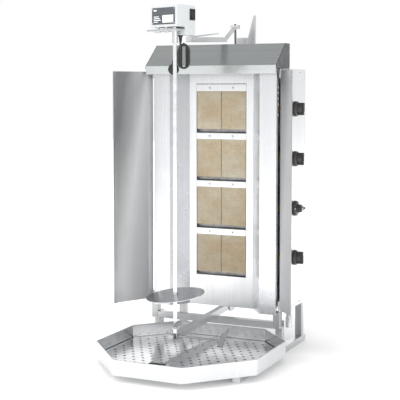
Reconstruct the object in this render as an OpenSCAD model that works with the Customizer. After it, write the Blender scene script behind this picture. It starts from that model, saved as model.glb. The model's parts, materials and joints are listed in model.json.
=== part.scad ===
// Free-standing vertical gas grill for a turning meat cone.
// X runs across the grill, Y from front (-) to back (+) and Z up.
// The origin is under the cross rail, on the floor, in the plane of symmetry of the stand.

/* [Stand] */
// Half width over the outer faces of rails, legs and housing
half_w = 221; // [205:1:270]
// Width of the square tubes
tube = 22; // [18:1:25]
// Height of the floor rails
rail_h = 20; // [16:1:24]
// Wall of the tubes
tube_wall = 1.5; // [1:0.1:2.5]
// Front end of the floor rails, behind the origin when positive
rail_front_y = -330; // [-360:1:-280]
// Rear end of the floor rails
rail_rear_y = 236; // [225:1:300]
// Gap between the columns and the front face of the stubs
stub_gap = 4; // [3:1:6]
// Front face of the rear legs
leg_y = 195; // [170:1:210]
// Underside of the front crossbar
crossbar_z = 86; // [80:1:92]
// Height of the front crossbar
crossbar_h = 20; // [16:1:24]
// Top of the hinge stubs on the front posts
stub_top_z = 138; // [134:1:142]

/* [Housing] */
// Sheet thickness of the housing
sheet = 1.5; // [1:0.1:2]
// Bottom edge of the housing's front
housing_z = 130; // [125:1:132]
// Height of the floor of the housing
floor_z = 144; // [142:1:150]
// Number of burners one above another
burner_n = 4; // [2:1:5]
// Height of one burner cell
burner_pitch = 153; // [130:1:175]
// Half width of the burner window
window_half_w = 86; // [70:1:100]
// Front of the burner window above the housing's bottom edge
apron_h = 98; // [80:1:120]
// Sheet above the window
header_h = 45; // [40:1:60]
// Plane of the burner window
window_y = 45; // [35:1:55]
// Plane of the front columns
column_y = -14; // [-16:1:-12]
// Inner edge of the front columns
column_in = 154; // [145:1:160]
// Outer edge of the front columns
column_out = 209; // [205:1:209]
// Inner edge of the slanted reflectors
reflector_in = 111; // [105:1:115]

/* [Hood] */
// Front face of the hood's lip
hood_y = -49.5; // [-60:0.5:-45]
// Height of the lip
lip_h = 26; // [20:1:32]
// How far the lip hangs below the hood's side panels
lip_drop = 16; // [12:1:20]
// Rise of the slanted sheet
hood_rise = 68; // [50:1:80]
// Front edge of the flat top
hood_top_y = 30; // [20:1:40]
// Back of the hood
hood_back_y = 68; // [60:1:80]

/* [Controls] */
// How far the control cover stands out of the side
cover_out = 25.4; // [22:0.1:30]
// Front edge of the control cover
cover_y0 = 9; // [8:1:12]
// Rear edge of the control cover
cover_y1 = 140; // [120:1:150]
// Distance of the knobs behind the origin
knob_y = 35; // [34:1:60]
// Radius of a knob's skirt
knob_r = 24; // [18:1:25]
// Length of a knob with its grip
knob_l = 32; // [26:1:36]
// Radius of a tap's spindle
spindle_r = 4; // [3:0.5:5]
// Thread radius of the gas inlet
inlet_r = 10.5; // [8:0.5:13]

/* [Wings] */
// Width of the left wing's main sheet
left_wing_w = 116; // [80:1:130]
// Width of the right wing's main sheet
right_wing_w = 90; // [70:1:130]
// Width of the wings' outer lip
wing_lip = 20; // [12:1:26]
// Top of the wings
wing_top_gap = 7; // [6:1:12]
// Radius of the wing pins
pin_r = 3.5; // [3:0.5:4]
// Running clearance of pins in their knuckles
pin_clear = 0.05; // [0.02:0.01:0.1]
// Opening of the left wing, forward from square with the side
left_wing_deg = 61; // [0:1:70]
// Opening of the right wing
right_wing_deg = 49; // [0:1:70]

/* [Skewer] */
// Distance of the skewer in front of the origin
skewer_y = 289; // [270:1:300]
// Side of the square skewer bar
skewer_w = 10; // [8:0.5:12]
// How far the skewer's top end stays below the drive plate
skewer_grip = 17; // [14:1:20]
// Height of the meat plate's centre
plate_z = 226; // [200:1:300]
// Radius of the meat plate
plate_r = 86; // [60:1:100]
// Tilt of the meat plate in its loose hub
plate_tilt = 5; // [0:0.5:5]
// Top of the bearing cup
cup_z = 128; // [124:1:130]
// Rise of both sliding arms towards the back
arm_slope = 2.5; // [0:0.5:3]

/* [Drive head] */
// Turn of the drive head on its arm
head_yaw = 18; // [0:1:30]
// Width of the motor case
case_w = 108; // [90:1:120]
// Depth of the motor case
case_d = 76; // [60:1:90]
// Height of the motor case
case_h = 63; // [50:1:75]
// Height of the drive plate above the housing
drive_rise = 103; // [97:1:112]
// Diameter of the mains cord
cord_d = 6; // [5:0.5:7]

/* [Drip tray] */
// Half width of the tray
tray_half_w = 262; // [240:1:275]
// Half length of the front edge
tray_front_half = 108; // [90:1:130]
// Half length of the back edge
tray_back_half = 148; // [130:1:150]
// Front edge of the tray
tray_front_y = -472; // [-490:1:-440]
// Front corners of the tray's sides
tray_side_y0 = -300; // [-320:1:-280]
// Rear corners of the tray's sides
tray_side_y1 = -66; // [-90:1:-64]
// Back edge of the tray
tray_back_y = 60; // [50:1:62]
// Height of the tray's wall
tray_h = 46; // [35:1:50]

/* [Hidden] */

fine = 48;
small = 24;
touch = 0.3;

window_z = housing_z + apron_h;
window_h = burner_n * burner_pitch + 3;
window_top = window_z + window_h;
housing_top = window_top + header_h;
drive_z = housing_top + drive_rise;
post_y = column_y + stub_gap + tube;
frame_half = reflector_in - 0.65;
wall_in = half_w - sheet;

skin_back_y = leg_y + tube;
hood_top_z = housing_top + 10 + hood_rise;
lip_top_z = housing_top + 10;
lip_z = lip_top_z - lip_h;

cover_x = half_w + cover_out;
cover_z0 = floor_z + 3;
cover_z1 = housing_top - 2;
tap_size = 22;
neck_r = 8;

pin_x = half_w - 5;
pin_y = -1;
knuckle_r = 5.5;
knuckle_h = 22;
wing_z0 = stub_top_z + 12;
wing_z1 = housing_top - wing_top_gap;

arm_w = 18;
arm_h = 20;
arm_gap = 0.4;
arm_pivot_y = -1;
bearing_r = 4;
upper_arm_x = 12;
upper_arm_w = 16;
upper_arm_h = 15;
upper_arm_z = housing_top + 91;
socket_r = 8;
socket_l = 34;
shaft_r = 6;
case_x1 = 28;
case_x0 = case_x1 - case_w;
case_y0 = -20;
case_z = drive_z + 12;
casing_h = 23;
rocker_y = 43;
rocker_z = case_z + 36;

// Middle height of burner number i, counted from the top
function burner_z(i) = window_top - 1.5 - (i + 0.5) * burner_pitch;
// Height of the cover strip above burner number i
function strip_z(i) = window_top - 14 - i * burner_pitch;

// Points of the tray's outline, moved inwards by t
function tray_outline(t) =
    let (f = atan2(tray_side_y0 - tray_front_y, tray_half_w - tray_front_half),
         b = atan2(tray_back_y - tray_side_y1, tray_half_w - tray_back_half),
         xf = tray_front_half - t * tan(f / 2),
         xb = tray_back_half - t * tan(b / 2),
         y0 = tray_side_y0 + t * tan((90 - f) / 2),
         y1 = tray_side_y1 - t * tan((90 - b) / 2),
         w = tray_half_w - t)
    [[-xf, tray_front_y + t], [xf, tray_front_y + t], [w, y0], [w, y1],
     [xb, tray_back_y - t], [-xb, tray_back_y - t], [-w, y1], [-w, y0]];

// Square tube along Z
module upright_tube(x, y, z0, z1) {
    translate([x, y, z0])
        difference() {
            cube([tube, tube, z1 - z0]);
            translate([tube_wall, tube_wall, -1])
                cube([tube - 2 * tube_wall, tube - 2 * tube_wall, z1 - z0 - tube_wall + 1]);
        }
}

// Rectangular tube along Y, open at both ends
module lying_tube(x, y0, y1, z, w, h) {
    translate([x, y0, z])
        difference() {
            cube([w, y1 - y0, h]);
            translate([tube_wall, -1, tube_wall])
                cube([w - 2 * tube_wall, y1 - y0 + 2, h - 2 * tube_wall]);
        }
}

// Rectangular tube along X, open at both ends
module cross_tube(x0, x1, y, z, w, h) {
    translate([x0, y, z])
        difference() {
            cube([x1 - x0, w, h]);
            translate([-1, tube_wall, tube_wall])
                cube([x1 - x0 + 2, w - 2 * tube_wall, h - 2 * tube_wall]);
        }
}

// One flat length of a bent sheet between two points of its plan
module sheet_leg(a, b, t, h) {
    run = norm(b - a);
    translate([a[0], a[1], 0])
        rotate([0, 0, atan2(b[1] - a[1], b[0] - a[0])])
            translate([0, -t / 2, 0])
                cube([run, t, h]);
    translate([b[0], b[1], 0])
        cylinder(r = t / 2, h = h, $fn = 12);
}

// The same thing on both sides
module both_sides() {
    children();
    mirror([1, 0, 0])
        children();
}

// Places a piece at the skewer, turned with the drive head
module at_head() {
    translate([0, -skewer_y, 0])
        rotate([0, 0, -head_yaw])
            children();
}

// Places a piece along the lower arm's slope: local z 0 is the arm's underside
module at_lower_arm() {
    translate([0, arm_pivot_y, crossbar_z + crossbar_h + arm_gap])
        rotate([arm_slope, 0, 0])
            children();
}

// Places a piece along the upper arm's slope: local z 0 is the arm's axis
module at_upper_arm() {
    translate([upper_arm_x, 0, upper_arm_z])
        rotate([arm_slope, 0, 0])
            children();
}

/* ---- Stand ---- */

module floor_frame() {
    color("gainsboro") {
        both_sides()
            lying_tube(half_w - tube, rail_front_y, rail_rear_y, 0, tube, rail_h);
        cross_tube(tube - half_w, half_w - tube, -tube / 2, 0, tube, rail_h);
    }
}

module rail_caps() {
    cap = 2;
    plug_l = 12;
    inner_w = tube - 2 * tube_wall;
    inner_h = rail_h - 2 * tube_wall;
    color("dimgray")
        both_sides()
            for (end = [[rail_front_y - cap, rail_front_y], [rail_rear_y, rail_rear_y - plug_l]]) {
                translate([half_w - tube + tube_wall, end[1], tube_wall])
                    cube([inner_w, plug_l, inner_h]);
                translate([half_w - tube, end[0], 0.5])
                    cube([tube, cap, rail_h - 0.5]);
            }
}

module rear_legs() {
    color("silver")
        both_sides()
            upright_tube(half_w - tube, leg_y, rail_h, floor_z);
}

module front_posts() {
    stub_y = post_y - tube;
    color("silver")
        both_sides() {
            upright_tube(half_w - tube, post_y, rail_h, crossbar_z + crossbar_h);
            upright_tube(half_w - tube, stub_y, crossbar_z, stub_top_z);
        }
}

module front_crossbar() {
    color("gainsboro")
        cross_tube(tube - half_w, half_w - tube, post_y - tube, crossbar_z, tube, crossbar_h);
}

/* ---- Housing ---- */

module side_wall() {
    wall_h = housing_top - floor_z;
    front_y = pin_y + knuckle_r + 9;
    translate([wall_in, front_y, floor_z])
        cube([sheet, skin_back_y - front_y, wall_h]);
    translate([wall_in - 6, front_y, floor_z])
        cube([6, sheet, wall_h]);
}

module left_side_wall() {
    color("gainsboro")
        mirror([1, 0, 0])
            side_wall();
}

module right_side_wall() {
    color("gainsboro")
        difference() {
            side_wall();
            for (i = [0 : burner_n - 1])
                translate([wall_in - 1, knob_y, burner_z(i)])
                    rotate([0, 90, 0])
                        cylinder(r = neck_r + touch, h = sheet + 2, $fn = fine);
        }
}

module rear_cover() {
    slot_w = 60;
    slot_h = 6;
    slot_pitch = 18;
    color("lightgray")
        difference() {
            translate([-wall_in, skin_back_y - sheet, floor_z + sheet])
                cube([2 * wall_in, sheet, housing_top - sheet - floor_z - sheet]);
            for (side = [-1, 1])
                for (k = [0 : 5])
                    translate([side * 100 - slot_w / 2, skin_back_y - sheet - 1,
                               housing_top - 60 - k * slot_pitch])
                        cube([slot_w, sheet + 2, slot_h]);
        }
}

module top_plate() {
    color("gainsboro")
        translate([-wall_in, window_y + sheet, housing_top - sheet])
            cube([2 * wall_in, skin_back_y - window_y - sheet, sheet]);
}

module bottom_plate() {
    color("gainsboro")
        translate([-wall_in, window_y + sheet, floor_z])
            cube([2 * wall_in, skin_back_y - window_y - sheet, sheet]);
}

module column() {
    mid_y = column_y + sheet / 2;
    edge_x = column_out - sheet / 2;
    full_h = housing_top - housing_z;
    return_z = stub_top_z + 2;
    translate([0, 0, housing_z]) {
        sheet_leg([reflector_in, window_y + sheet / 2], [column_in, mid_y], sheet, full_h);
        sheet_leg([column_in, mid_y], [edge_x, mid_y], sheet, full_h);
    }
    translate([0, 0, return_z])
        sheet_leg([edge_x, mid_y], [edge_x, mid_y + 12], sheet, housing_top - return_z);
}

module left_column() {
    color("whitesmoke")
        mirror([1, 0, 0])
            column();
}

module right_column() {
    color("whitesmoke")
        column();
}

module burner_frame() {
    color("whitesmoke")
        difference() {
            translate([-frame_half, window_y, housing_z])
                cube([2 * frame_half, sheet, housing_top - housing_z]);
            translate([-window_half_w, window_y - 1, window_z])
                cube([2 * window_half_w, sheet + 2, window_h]);
        }
}

module burner_bodies() {
    flange = 6;
    depth = 44;
    tile_d = 13;
    body_h = burner_pitch - 3;
    back_y = window_y + sheet;
    color("slategray")
        for (i = [0 : burner_n - 1])
            translate([0, back_y, burner_z(i)]) {
                translate([-window_half_w - flange, tile_d, -body_h / 2])
                    cube([2 * (window_half_w + flange), 6, body_h]);
                translate([-window_half_w + 12, tile_d + 6, -body_h / 2 + 20])
                    cube([2 * window_half_w - 24, depth - tile_d - 6, body_h - 40]);
                translate([window_half_w - 13, depth - 13, 0])
                    rotate([0, 90, 0])
                        cylinder(r = 12, h = 60, $fn = fine);
            }
}

module ceramic_tiles() {
    seam = 1.5;
    tile_d = 13;
    tile_w = window_half_w - 2 - seam;
    tile_h = burner_pitch - 20;
    color("tan")
        for (i = [0 : burner_n - 1])
            for (x = [-window_half_w + 2, seam])
                translate([x, window_y + sheet, burner_z(i) - tile_h / 2])
                    cube([tile_w, tile_d, tile_h]);
}

module burner_strips() {
    strip_h = 20;
    color("whitesmoke")
        for (i = [0 : burner_n - 1])
            translate([-window_half_w + 0.5, window_y, strip_z(i) - strip_h / 2])
                cube([2 * window_half_w - 1, sheet, i == 0 ? strip_h + 2 : strip_h]);
}

module housing_screws() {
    head_r = 3.5;
    head_h = 2;
    color("darkgray") {
        for (i = [0 : burner_n - 1])
            for (side = [-1, 1])
                translate([side * 40, window_y, strip_z(i)])
                    rotate([90, 0, 0])
                        cylinder(r = head_r, h = head_h, $fn = small);
        for (z = [cover_z0 + 10, cover_z1 - 11])
            for (y = [cover_y0 + 12, cover_y1 - 41])
                translate([cover_x, y, z])
                    rotate([0, 90, 0])
                        cylinder(r = head_r, h = head_h, $fn = small);
        for (side = [-1, 1])
            for (z = [floor_z + 30, (floor_z + housing_top) / 2, housing_top - 30])
                translate([side * (wall_in - 12), skin_back_y, z])
                    rotate([-90, 0, 0])
                        cylinder(r = head_r, h = head_h, $fn = small);
    }
}

/* ---- Gas line ---- */

tap_x = wall_in - tap_size - 1;
manifold_x = tap_x + tap_size / 2;
manifold_y = knob_y + 36;

module gas_manifold() {
    color("darkgray") {
        translate([manifold_x, manifold_y, floor_z + sheet])
            cylinder(r = 9, h = burner_z(0) + 20 - floor_z - sheet, $fn = fine);
        for (i = [0 : burner_n - 1])
            translate([manifold_x, knob_y + tap_size / 2, burner_z(i)])
                rotate([-90, 0, 0])
                    cylinder(r = 6, h = manifold_y - knob_y - tap_size / 2, $fn = small);
    }
}

module gas_taps() {
    color("goldenrod")
        for (i = [0 : burner_n - 1])
            translate([0, knob_y, burner_z(i)]) {
                translate([tap_x, -tap_size / 2, -tap_size / 2])
                    cube([tap_size, tap_size, tap_size]);
                translate([tap_x + tap_size, 0, 0])
                    rotate([0, 90, 0]) {
                        cylinder(r = neck_r, h = cover_x - sheet - tap_x - tap_size, $fn = fine);
                        cylinder(r = spindle_r, h = cover_x + 20 - tap_x - tap_size, $fn = fine);
                    }
            }
}

module feed_pipes() {
    pipe_r = 4;
    jet_x = window_half_w + 47;
    jet_y = window_y + sheet + 31;
    color("peru")
        for (i = [0 : burner_n - 1])
            translate([0, 0, burner_z(i)]) {
                translate([tap_x - 22, knob_y, 0])
                    rotate([0, 90, 0])
                        cylinder(r = pipe_r, h = 22, $fn = small);
                translate([tap_x - 22, knob_y, 0])
                    sphere(r = pipe_r, $fn = small);
                translate([tap_x - 22, knob_y, 0])
                    rotate([-90, 0, 0])
                        cylinder(r = pipe_r, h = jet_y - knob_y, $fn = small);
                translate([tap_x - 22, jet_y, 0])
                    sphere(r = pipe_r, $fn = small);
                translate([jet_x, jet_y, 0])
                    rotate([0, 90, 0])
                        cylinder(r = pipe_r, h = tap_x - 22 - jet_x, $fn = small);
            }
}

inlet_x = half_w + 13.5;
inlet_y = knob_y + 3;
inlet_z = 85;

module gas_inlet() {
    color("lightgray") {
        translate([inlet_x, inlet_y, inlet_z])
            cylinder(r = inlet_r, h = 22, $fn = fine);
        translate([inlet_x, inlet_y, inlet_z + 22])
            cylinder(r = 12, h = 9, $fn = 6);
        translate([inlet_x, inlet_y, inlet_z + 31])
            cylinder(r = 9, h = cover_z0 - inlet_z - 31, $fn = fine);
    }
}

/* ---- Controls ---- */

module control_cover() {
    d = cover_y1 - cover_y0;
    h = cover_z1 - cover_z0;
    color("whitesmoke")
        difference() {
            translate([half_w, cover_y0, cover_z0])
                cube([cover_out, d, h]);
            translate([half_w - 1, cover_y0 + sheet, cover_z0 + sheet])
                cube([cover_out + 1 - sheet, d - 2 * sheet, h - 2 * sheet]);
            for (i = [0 : burner_n - 1])
                translate([cover_x - sheet - 1, knob_y, burner_z(i)])
                    rotate([0, 90, 0])
                        cylinder(r = spindle_r + touch, h = sheet + 2, $fn = fine);
        }
}

bezel_h = 3;

module knob_bezels() {
    color("black")
        for (i = [0 : burner_n - 1])
            translate([cover_x, knob_y, burner_z(i)])
                rotate([0, 90, 0])
                    difference() {
                        cylinder(r = 15, h = bezel_h, $fn = fine);
                        translate([0, 0, -1])
                            cylinder(r = spindle_r + 1, h = bezel_h + 2, $fn = fine);
                    }
}

// A tap knob on its spindle, with its pointer turned to the given angle
module knob(i, turn) {
    skirt_h = 11;
    grip_w = 9;
    bore_l = 20 - bezel_h - touch + 0.5;
    color("#1a1a1a")
        translate([cover_x + bezel_h + touch, knob_y, burner_z(i)])
            rotate([turn, 0, 0])
                rotate([0, 90, 0])
                    difference() {
                        union() {
                            cylinder(r1 = knob_r, r2 = knob_r - 2, h = skirt_h, $fn = fine);
                            cylinder(r = 13, h = knob_l - 6, $fn = fine);
                            translate([-knob_r + 5, -grip_w / 2, 0])
                                cube([2 * knob_r - 10, grip_w, knob_l]);
                        }
                        translate([0, 0, -1])
                            cylinder(r = spindle_r + pin_clear, h = bore_l + 1, $fn = fine);
                    }
}

module knob_1() knob(0, 0);
module knob_2() knob(1, 0);
module knob_3() knob(2, -90);
module knob_4() knob(3, 180);

/* ---- Hood ---- */

module hood() {
    lip_in = hood_y + sheet;
    slant = sheet * 1.4;
    color("darkgray")
        translate([-wall_in, 0, 0])
            rotate([90, 0, 90])
                linear_extrude(height = 2 * wall_in)
                    polygon([
                        [hood_y, lip_z], [hood_y, lip_top_z], [hood_top_y, hood_top_z],
                        [hood_back_y, hood_top_z], [hood_back_y, housing_top],
                        [hood_back_y - sheet, housing_top], [hood_back_y - sheet, hood_top_z - sheet],
                        [hood_top_y + 0.6, hood_top_z - sheet], [lip_in, lip_top_z - slant / 2],
                        [lip_in, lip_z]
                    ]);
}

module hood_cheeks() {
    corner = 8;
    back_z = housing_top + corner;
    color("#323434")
        both_sides()
            translate([wall_in, 0, 0])
                rotate([90, 0, 90])
                    linear_extrude(height = sheet)
                        polygon([
                            [hood_y, housing_top], [hood_y, lip_top_z], [hood_top_y, hood_top_z],
                            [hood_back_y, hood_top_z], [hood_back_y, back_z],
                            for (a = [0 : 15 : 90])
                                [hood_back_y - corner + corner * cos(a), back_z - corner * sin(a)]
                        ]);
}

/* ---- Wings ---- */

module wing_pins() {
    ear_y = column_y + sheet;
    color("dimgray")
        both_sides() {
            translate([pin_x, pin_y, stub_top_z])
                cylinder(r = pin_r, h = wing_z0 - stub_top_z + knuckle_h - 2, $fn = fine);
            translate([pin_x, pin_y, wing_z1 - knuckle_h + 2])
                cylinder(r = pin_r, h = housing_top - wing_z1 + knuckle_h - 4, $fn = fine);
            translate([column_out, ear_y, housing_top - 4])
                cube([half_w - column_out, pin_y + knuckle_r + 9 - ear_y, 3]);
        }
}

// A wing that points along +X: the pin is at its origin
module wing(main_w) {
    first = 28;
    drop = -8;
    bend = -20;
    knee = [first, drop];
    edge = [first + main_w, drop];
    h = wing_z1 - wing_z0;
    difference() {
        union() {
            for (z = [wing_z0, wing_z1 - knuckle_h])
                translate([0, 0, z])
                    cylinder(r = knuckle_r, h = knuckle_h, $fn = fine);
            translate([0, 0, wing_z0]) {
                sheet_leg([knuckle_r - 0.5, 0], knee, sheet, h);
                sheet_leg(knee, edge, sheet, h);
                sheet_leg(edge, edge + wing_lip * [cos(bend), sin(bend)], sheet, h);
            }
        }
        translate([0, 0, wing_z0 - 1])
            cylinder(r = pin_r + pin_clear, h = h + 2, $fn = fine);
    }
}

module left_wing() {
    color("silver")
        mirror([1, 0, 0])
            translate([pin_x, pin_y, 0])
                rotate([0, 0, -left_wing_deg])
                    wing(left_wing_w);
}

module right_wing() {
    color("silver")
        translate([pin_x, pin_y, 0])
            rotate([0, 0, -right_wing_deg])
                wing(right_wing_w);
}

/* ---- Lower arm and bearing ---- */

arm_front = 277 - skewer_y;
lower_arm_y0 = -skewer_y + 13;

module lower_arm() {
    wall = 2;
    run = 150 - lower_arm_y0;
    color("silver")
        at_lower_arm()
            translate([-arm_w / 2, lower_arm_y0 - arm_pivot_y, 0])
                difference() {
                    cube([arm_w, run, arm_h]);
                    translate([wall, wall, wall])
                        cube([arm_w - 2 * wall, run, arm_h - 2 * wall]);
                }
}

module lower_arm_guide() {
    cheek = 3;
    gap = arm_w / 2 + 0.6;
    guide_l = 40;
    color("gray")
        for (side = [-1, 1])
            translate([side > 0 ? gap : -gap - cheek, 90, floor_z - 40])
                cube([cheek, guide_l, 40]);
}

block_z = 94;
lever_z = 104;
lever_y = -skewer_y + 4;

module bearing_block() {
    half = 9;
    lean = 0.65;
    color("lightgray")
        difference() {
            union() {
                translate([-half, -skewer_y - half - 1, block_z])
                    cube([2 * half, lower_arm_y0 + skewer_y + half + 1 - lean, 20]);
                translate([0, -skewer_y, block_z + 19])
                    cylinder(r = 8, h = cup_z - block_z - 19, $fn = fine);
                translate([0, -skewer_y, cup_z - 3])
                    cylinder(r = 10.5, h = 3, $fn = fine);
            }
            translate([0, -skewer_y, cup_z - 18])
                cylinder(r = bearing_r, h = 19, $fn = fine);
            translate([0, -skewer_y, cup_z - 2.5])
                cylinder(r1 = bearing_r, r2 = 8, h = 2.6, $fn = fine);
            translate([half - 6, lever_y, lever_z])
                rotate([0, 90, 0])
                    cylinder(r = 2.5 + pin_clear, h = 7, $fn = small);
        }
}

module clamp_bolt() {
    head = 16;
    color("whitesmoke")
        translate([-4, -skewer_y - 10, lever_z - 1]) {
            rotate([90, 0, 0])
                cylinder(r = 4, h = 6, $fn = small);
            translate([-head / 2, -14, -head / 2])
                cube([head, 8, head]);
        }
}

module clamp_lever() {
    rod_r = 2.5;
    rod_l = 138;
    paddle_l = 47;
    paddle_w = 16;
    paddle_t = 4;
    color("silver")
        translate([4, lever_y, lever_z]) {
            rotate([0, 90, 0])
                cylinder(r = rod_r, h = rod_l, $fn = small);
            translate([5.4, 0, 0])
                rotate([0, 90, 0])
                    cylinder(r = 5, h = 6, $fn = 6);
            translate([rod_l - 3, 0, 0])
                rotate([45, 0, 0])
                    translate([0, -paddle_l / 2 + 2, -paddle_t / 2])
                        cube([paddle_w, paddle_l, paddle_t]);
        }
}

/* ---- Skewer ---- */

journal_r = bearing_r - pin_clear;
journal_z = cup_z - 17.5;
bar_z = cup_z + 22;
skewer_top = drive_z - skewer_grip;
hub_screw_drop = 10;
hub_screw_r = 3;

module skewer() {
    turn = 20;
    color("whitesmoke")
        translate([0, -skewer_y, 0]) {
            translate([0, 0, journal_z])
                cylinder(r = journal_r, h = cup_z + 2 - journal_z, $fn = fine);
            translate([0, 0, cup_z + 1])
                cylinder(r1 = journal_r, r2 = skewer_w * 0.62, h = bar_z - cup_z - 1, $fn = fine);
            rotate([0, 0, turn])
                translate([-skewer_w / 2, -skewer_w / 2, bar_z - 2])
                    cube([skewer_w, skewer_w, skewer_top - bar_z + 2]);
        }
}

// Places a piece on the meat plate, tilted in its loose hub
module at_plate() {
    translate([0, -skewer_y, plate_z])
        rotate([plate_tilt, -plate_tilt, 0])
            children();
}

module meat_plate() {
    hub_r = 13;
    hub_h = 18;
    hole = skewer_w + 5;
    color("silver")
        at_plate()
            difference() {
                union() {
                    translate([0, 0, -1.5])
                        cylinder(r = plate_r, h = 2, $fn = 96);
                    translate([0, 0, -hub_h])
                        cylinder(r = hub_r, h = hub_h, $fn = fine);
                }
                rotate([0, 0, 20]) {
                    translate([-hole / 2, -hole / 2, -hub_h - 1])
                        cube([hole, hole, hub_h + 3]);
                    translate([0, 0, -hub_screw_drop])
                        rotate([0, 90, 0])
                            cylinder(r = hub_screw_r + pin_clear, h = hub_r + 1, $fn = small);
                }
            }
}

module plate_screw() {
    color("gray")
        at_plate()
            rotate([0, 0, 20])
                translate([skewer_w / 2 + 0.6, 0, -hub_screw_drop])
                    rotate([0, 90, 0]) {
                        cylinder(r = hub_screw_r, h = 12, $fn = small);
                        translate([0, 0, 12])
                            cylinder(r = 5, h = 6, $fn = small);
                    }
}

/* ---- Upper arm ---- */

upper_y0 = -222;
upper_y1 = 45;
pillar_y = 132;
pillar_top = 40;
cap_w = 26;

module upper_arm() {
    bar = 8;
    wall = 1.5;
    color("silver")
        at_upper_arm() {
            translate([-upper_arm_w / 2, upper_y0, -upper_arm_h / 2])
                difference() {
                    cube([upper_arm_w, upper_y1 - upper_y0, upper_arm_h]);
                    translate([wall, -1, wall])
                        cube([upper_arm_w - 2 * wall, upper_y1 - upper_y0 - wall + 1,
                              upper_arm_h - 2 * wall]);
                }
            hull() {
                translate([-bar / 2, upper_y1 - bar, -upper_arm_h / 2])
                    cube([bar, bar, bar]);
                translate([-bar / 2, pillar_y - bar - 7, pillar_top - bar])
                    cube([bar, bar, bar]);
            }
            difference() {
                translate([-cap_w / 2, pillar_y - 9, pillar_top - 6])
                    cube([cap_w, 18, 12]);
                translate([0, pillar_y, pillar_top - 7])
                    cylinder(r = 3.5, h = 14, $fn = small);
            }
        }
}

module arm_gusset() {
    plate_t = 4;
    rod_r = 2.2;
    color("gray") {
        hull() {
            at_head()
                translate([case_x1 - 14, case_y0 + case_d - 4, case_z - casing_h - 14])
                    cube([10, plate_t, 14]);
            at_upper_arm()
                translate([-upper_arm_w / 2, upper_y0 - 3, -upper_arm_h / 2])
                    cube([upper_arm_w, 3, upper_arm_h]);
        }
        at_upper_arm()
            translate([0, upper_y0 + 38, upper_arm_h / 2 + rod_r])
                rotate([-87, 0, 0])
                    cylinder(r = rod_r, h = 180, $fn = small);
    }
}

track_z = -82;
foot_w = 20;
foot_h = 14;

module arm_pillar() {
    foot_l = 36;
    color("#303030")
        at_upper_arm() {
            translate([0, pillar_y, track_z + foot_h / 2])
                cylinder(r = 3.5, h = pillar_top + 10 - track_z - foot_h / 2, $fn = small);
            translate([-foot_w / 2, pillar_y - foot_l / 2, track_z])
                cube([foot_w, foot_l, foot_h]);
        }
}

track_y0 = 74;
track_y1 = 212;

module upper_arm_track() {
    wall = 3;
    side = foot_w / 2 + 0.5;
    box_h = 18;
    color("silver") {
        at_upper_arm() {
            for (x = [-side - wall, side])
                translate([x, track_y0, track_z - 6])
                    cube([wall, track_y1 - track_y0, foot_h + 12]);
            translate([-side - wall, track_y0, track_z - 0.5 - wall])
                cube([2 * (side + wall), track_y1 - track_y0, wall]);
            translate([-side - wall, track_y1 - 36, track_z + foot_h + 4])
                cube([2 * (side + wall), 36, box_top - track_z - foot_h - 4]);
        }
        translate([upper_arm_x - side - wall, track_y0, housing_top])
            cube([2 * (side + wall), track_y1 - track_y0, upper_arm_z + track_z - 1 - housing_top]);
    }
}

box_top = 6;

module rear_upright() {
    foot_x = 26.5;
    top_x = 46;
    edge_x = 49;
    plate_y = 205;
    height_z = housing_top + 178;
    flange = 10;
    color("gainsboro") {
        translate([0, plate_y, 0])
            rotate([90, 0, 0])
                linear_extrude(height = 2)
                    polygon([
                        [foot_x, housing_top], [edge_x, housing_top], [edge_x, height_z],
                        [top_x, height_z], [foot_x, upper_arm_z + 14]
                    ]);
        translate([edge_x, plate_y - 2, housing_top])
            cube([2, flange, height_z - housing_top]);
    }
}

/* ---- Drive head ---- */

module drive_plate() {
    color("silver")
        at_head()
            difference() {
                translate([case_x0 - 10, case_y0 - 4, drive_z])
                    cube([case_w + 10, 36, 6]);
                translate([0, 0, drive_z - 1])
                    cylinder(r = shaft_r + pin_clear, h = 8, $fn = fine);
            }
}

module plate_bolts() {
    color("dimgray")
        at_head()
            for (x = [-52, -20])
                translate([x, case_y0 + 6, drive_z]) {
                    translate([0, 0, -4])
                        cylinder(r = 6, h = 4, $fn = 6);
                    translate([0, 0, 6])
                        cylinder(r = 4, h = case_z - drive_z - 6, $fn = small);
                }
}

module gear_casing() {
    color("lightgray")
        at_head()
            translate([case_x1 - 34, 12, case_z - casing_h])
                difference() {
                    cube([34, case_y0 + case_d - 12, casing_h]);
                    translate([2, 2, 2])
                        cube([30, case_y0 + case_d - 16, casing_h]);
                }
}

module motor_case() {
    color("lightgray")
        at_head()
            difference() {
                translate([case_x0, case_y0, case_z])
                    cube([case_w, case_d, case_h]);
                translate([case_x0 + sheet, case_y0 + sheet, case_z + sheet])
                    cube([case_w - 2 * sheet, case_d - 2 * sheet, case_h - 2 * sheet]);
                translate([0, 0, case_z - 1])
                    cylinder(r = shaft_r + 2, h = sheet + 2, $fn = fine);
                translate([case_x1 - sheet - 1, rocker_y - 9, rocker_z - 13])
                    cube([sheet + 2, 18, 26]);
            }
}

module gear_motor() {
    color("dimgray")
        at_head()
            difference() {
                union() {
                    translate([case_x0 + 12, case_y0 + 6, case_z + sheet])
                        cube([case_w - 26, 44, 24]);
                    translate([case_x0 + 36, case_y0 + 28, case_z + sheet + 24])
                        cylinder(r = 20, h = 30, $fn = fine);
                }
                translate([0, 0, case_z])
                    cylinder(r = shaft_r + pin_clear, h = 14, $fn = fine);
            }
}

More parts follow.
